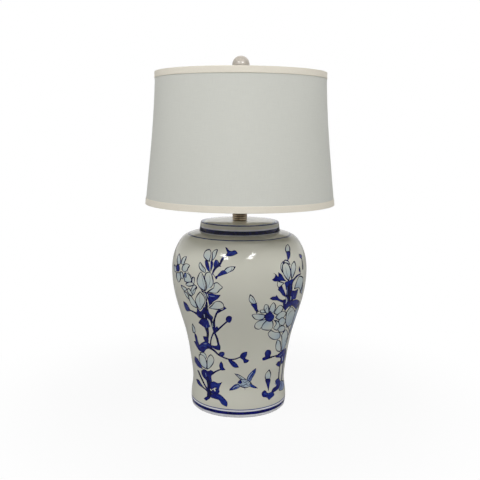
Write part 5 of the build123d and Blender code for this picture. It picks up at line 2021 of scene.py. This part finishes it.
    def build(self, strokes: Sequence[tuple[Stroke, float]]) -> None:
        """Make the jar, its painting and its glaze.

        Args:
            strokes: Strokes, each with the side that it is painted on, in degrees.
        """
        inner = self.hole(self.outlet_radii[1], 1.0)
        inner[:, 1] = np.sqrt(self.recess**2 - inner[:, 0] ** 2)
        skin, triangles, tones = self.skin(strokes)
        walls = [(skin, triangles), self.turned(self.rest), self.turned(self.foot)]
        walls += [self.recess_wall(inner), self.bore(inner)]
        faces, count = [], 0
        for places, polygons in walls:
            faces += (polygons + count).tolist()
            count += len(places)
        mesh = bpy.data.meshes.new("jar_body_painted")
        mesh.from_pydata((np.vstack([places for places, _ in walls]) * MM).tolist(), [], faces)
        depths = np.zeros(len(mesh.loops), np.float32)
        depths[: tones.size] = tones.ravel()
        mesh.attributes.new("cobalt", "FLOAT", "CORNER").data.foreach_set("value", depths)
        jar = bpy.data.objects.new("jar_body_painted", mesh)
        bpy.context.scene.collection.objects.link(jar)
        Bench.pick(jar)
        bpy.ops.object.mode_set(mode="EDIT")
        Bench.close(jar, "jar_body_painted", 40.0)
        self.smooth(jar)
        dress(jar, Glaze("glaze_jar", self.bands, self.pale, True), "base", ["jar_body"])

    def smooth(self, jar: bpy.types.Object) -> None:
        """Shade the jar's skin by the profile's own normals."""
        mesh = jar.data
        corners = Bench.read(mesh.loops, "vertex_index", kind=int)
        normals = Bench.read(mesh.corner_normals, "vector", 3)
        x, y, z = (Bench.read(mesh.vertices, "co", 3)[corners] / MM).T
        radius = np.hypot(x, y)
        out, up = self.profile.normal(z).T
        true = np.column_stack((out * x / radius, out * y / radius, up))
        skin = (abs(radius - self.profile.radius(z)) < 0.05) & (z > self.foot[-1][1] - 0.01)
        skin &= np.einsum("ij,ij->i", normals, true) > 0.8
        normals[skin] = true[skin]
        mesh.normals_split_custom_set(normals.tolist())


# ---------------------------------------------------------------- the studio
@dataclass(frozen=True)
class SoftLamp:
    """Area lamp that faces the middle of the object.

    Attributes:
        name: Name of the lamp.
        place: Its place in m.
        size: Its width and height in m.
        power: Its power in W.
        glint: Whether it only glints in glossy surfaces, or else only lights.
        turn: Its turn about its own axis in degrees.
    """

    name: str
    place: tuple[float, float, float]
    size: Point
    power: float
    glint: bool = False
    turn: float = 0.0

    def hang(self, aim: Sequence[float]) -> None:
        """Hang the lamp, turned to a point."""
        data = bpy.data.lights.new(self.name, "AREA")
        data.shape = "RECTANGLE"
        data.size, data.size_y = self.size
        data.energy = self.power
        lamp = bpy.data.objects.new(self.name, data)
        lamp.location = self.place
        aimed = (Vector(aim) - Vector(self.place)).to_track_quat("-Z", "Y").to_matrix()
        lamp.rotation_euler = (aimed @ Matrix.Rotation(math.radians(self.turn), 3, "Z")).to_euler()
        lamp.visible_glossy = self.glint
        lamp.visible_diffuse = not self.glint
        bpy.context.scene.collection.objects.link(lamp)


@dataclass
class Studio:
    """Pale floor, white surroundings, soft lamps and the camera.

    Attributes:
        lens: Focal length in mm.
        place: Camera's place in m.
        tilt: Downward tilt in degrees.
        roll: Roll in degrees.
        waist: Point in m that the lamps face.
        fill: Strength of the surroundings' light.
        lamps: The lamps.
    """

    lens: float = 53.22
    place: tuple[float, float, float] = (0.0009, -1.541, 0.606)
    tilt: float = 8.8
    roll: float = 0.45
    waist: tuple[float, float, float] = (0.0, 0.0, 0.38)
    fill: float = 0.12
    lamps: tuple[SoftLamp, ...] = (
        SoftLamp("soft_left", (-1.8, -0.75, 2.45), (1.0, 1.0), 22.5),
        SoftLamp("soft_right", (1.8, -0.75, 2.45), (1.0, 1.0), 22.0),
        SoftLamp("soft_front", (0.0, -1.9, 2.4), (0.8, 0.8), 11.5),
        SoftLamp("soft_back", (0.0, 2.3, 2.3), (1.0, 1.0), 13.0),
        SoftLamp("low_left", (-0.66, -1.28, 1.36), (0.34, 0.1), 3.5),
        SoftLamp("low_right", (0.56, -1.27, 1.42), (0.34, 0.1), 3.5),
        SoftLamp("window_left", (-0.66, -1.28, 1.36), (0.46, 0.19), 17.0, True, -40.0),
        SoftLamp("window_right", (0.56, -1.27, 1.42), (0.46, 0.19), 17.0, True, 40.0),
    )

    def camera(self) -> None:
        """Set up the camera."""
        data = bpy.data.cameras.new("camera")
        data.lens = self.lens
        data.sensor_width = 36.0
        data.clip_end = 50.0
        camera = bpy.data.objects.new("camera", data)
        tilt = Matrix.Rotation(math.radians(90 - self.tilt), 4, "X")
        roll = Matrix.Rotation(math.radians(self.roll), 4, "Z")
        camera.matrix_world = Matrix.Translation(self.place) @ tilt @ roll
        bpy.context.scene.collection.objects.link(camera)
        bpy.context.scene.camera = camera

    def surroundings(self) -> None:
        """Light the world, white where it is seen and softer where it lights."""
        world = bpy.data.worlds.new("surroundings")
        bpy.context.scene.world = world
        sheet = Sheet(world)
        camera, glossy, through = (
            sheet.node("ShaderNodeLightPath", {"output": f"Is {ray} Ray"})
            for ray in ("Camera", "Glossy", "Transmission")
        )
        soft = sheet.node("ShaderNodeBackground", None, (1.0, 0.995, 0.985, 1.0), self.fill)
        white = sheet.node("ShaderNodeBackground", None, WHITE, 1.0)
        seen = camera.larger(glossy).larger(through)
        sheet.surface(sheet.node("ShaderNodeMixShader", None, seen, soft, white))

    def floor(self) -> None:
        """Lay the floor, white to the eye but still shaded under the lamp."""
        Bench.clear()
        bpy.ops.mesh.primitive_circle_add(
            vertices=96, radius=12.0, fill_type="NGON", location=(0, 0, -0.5 * MM)
        )
        floor = bpy.context.object
        floor.name = "floor"
        Bench.settle(floor)
        sheet = Sheet(bpy.data.materials.new("floor_paper"))
        paper = sheet.mix(sheet.noise(30, 2), screen(206, 206, 206), screen(201, 201, 201))
        floor.data.materials.append(sheet.finish(Base_Color=paper, Roughness=0.9))
        away = sheet.radius().span(0.25, 0.7, 0.92, 1.0)
        eye = sheet.node("ShaderNodeLightPath", {"output": "Is Camera Ray"})
        glow = sheet.node("ShaderNodeEmission", None, WHITE, 1.0)
        shaded = Signal(sheet, sheet.shader.outputs[0])
        sheet.surface(sheet.node("ShaderNodeMixShader", None, eye * away, shaded, glow))

    def build(self) -> None:
        """Set the stage."""
        bpy.context.scene.view_settings.view_transform = "Standard"
        self.camera()
        self.surroundings()
        self.floor()
        for lamp in self.lamps:
            lamp.hang(self.waist)


def painted_jar() -> PaintedJar:
    """Draw the jar's section."""
    profile = Profile(JAR_KNOTS, (0.25, 1.0), (-1.0, 0.2))
    mouth = soften([(78.0, 388.0), (78.0, 399.0, 1.2), (73.0, 399.0, 1.2), (73.0, 383.0)])
    ring = [
        (JAR_RECESS, FOOT_LEVEL),
        (float(profile.radius(FOOT_LEVEL)) - 0.1, FOOT_LEVEL, 0.7),
        (float(profile.radius(SKIN_FOOT)), SKIN_FOOT),
    ]
    return PaintedJar(profile, [JAR_KNOTS[-1], *mouth, *JAR_INSIDE], soften(ring), JAR_RECESS)


def main() -> None:
    """Build the lamp round its frame."""
    logging.basicConfig(level=logging.INFO, format="%(message)s")
    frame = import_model()
    Studio().build()
    painting = MagnoliaPainting().strokes()
    painted_jar().build([(stroke, turn) for turn in (0.0, 180.0) for stroke in painting])
    for part in (JarLid(), BrassNeck(), LampShade(), Harp(), LampSocket(), Bulb(), Finial()):
        part.build()
    Undercarriage().build(frame)


if __name__ == "__main__":
    main()
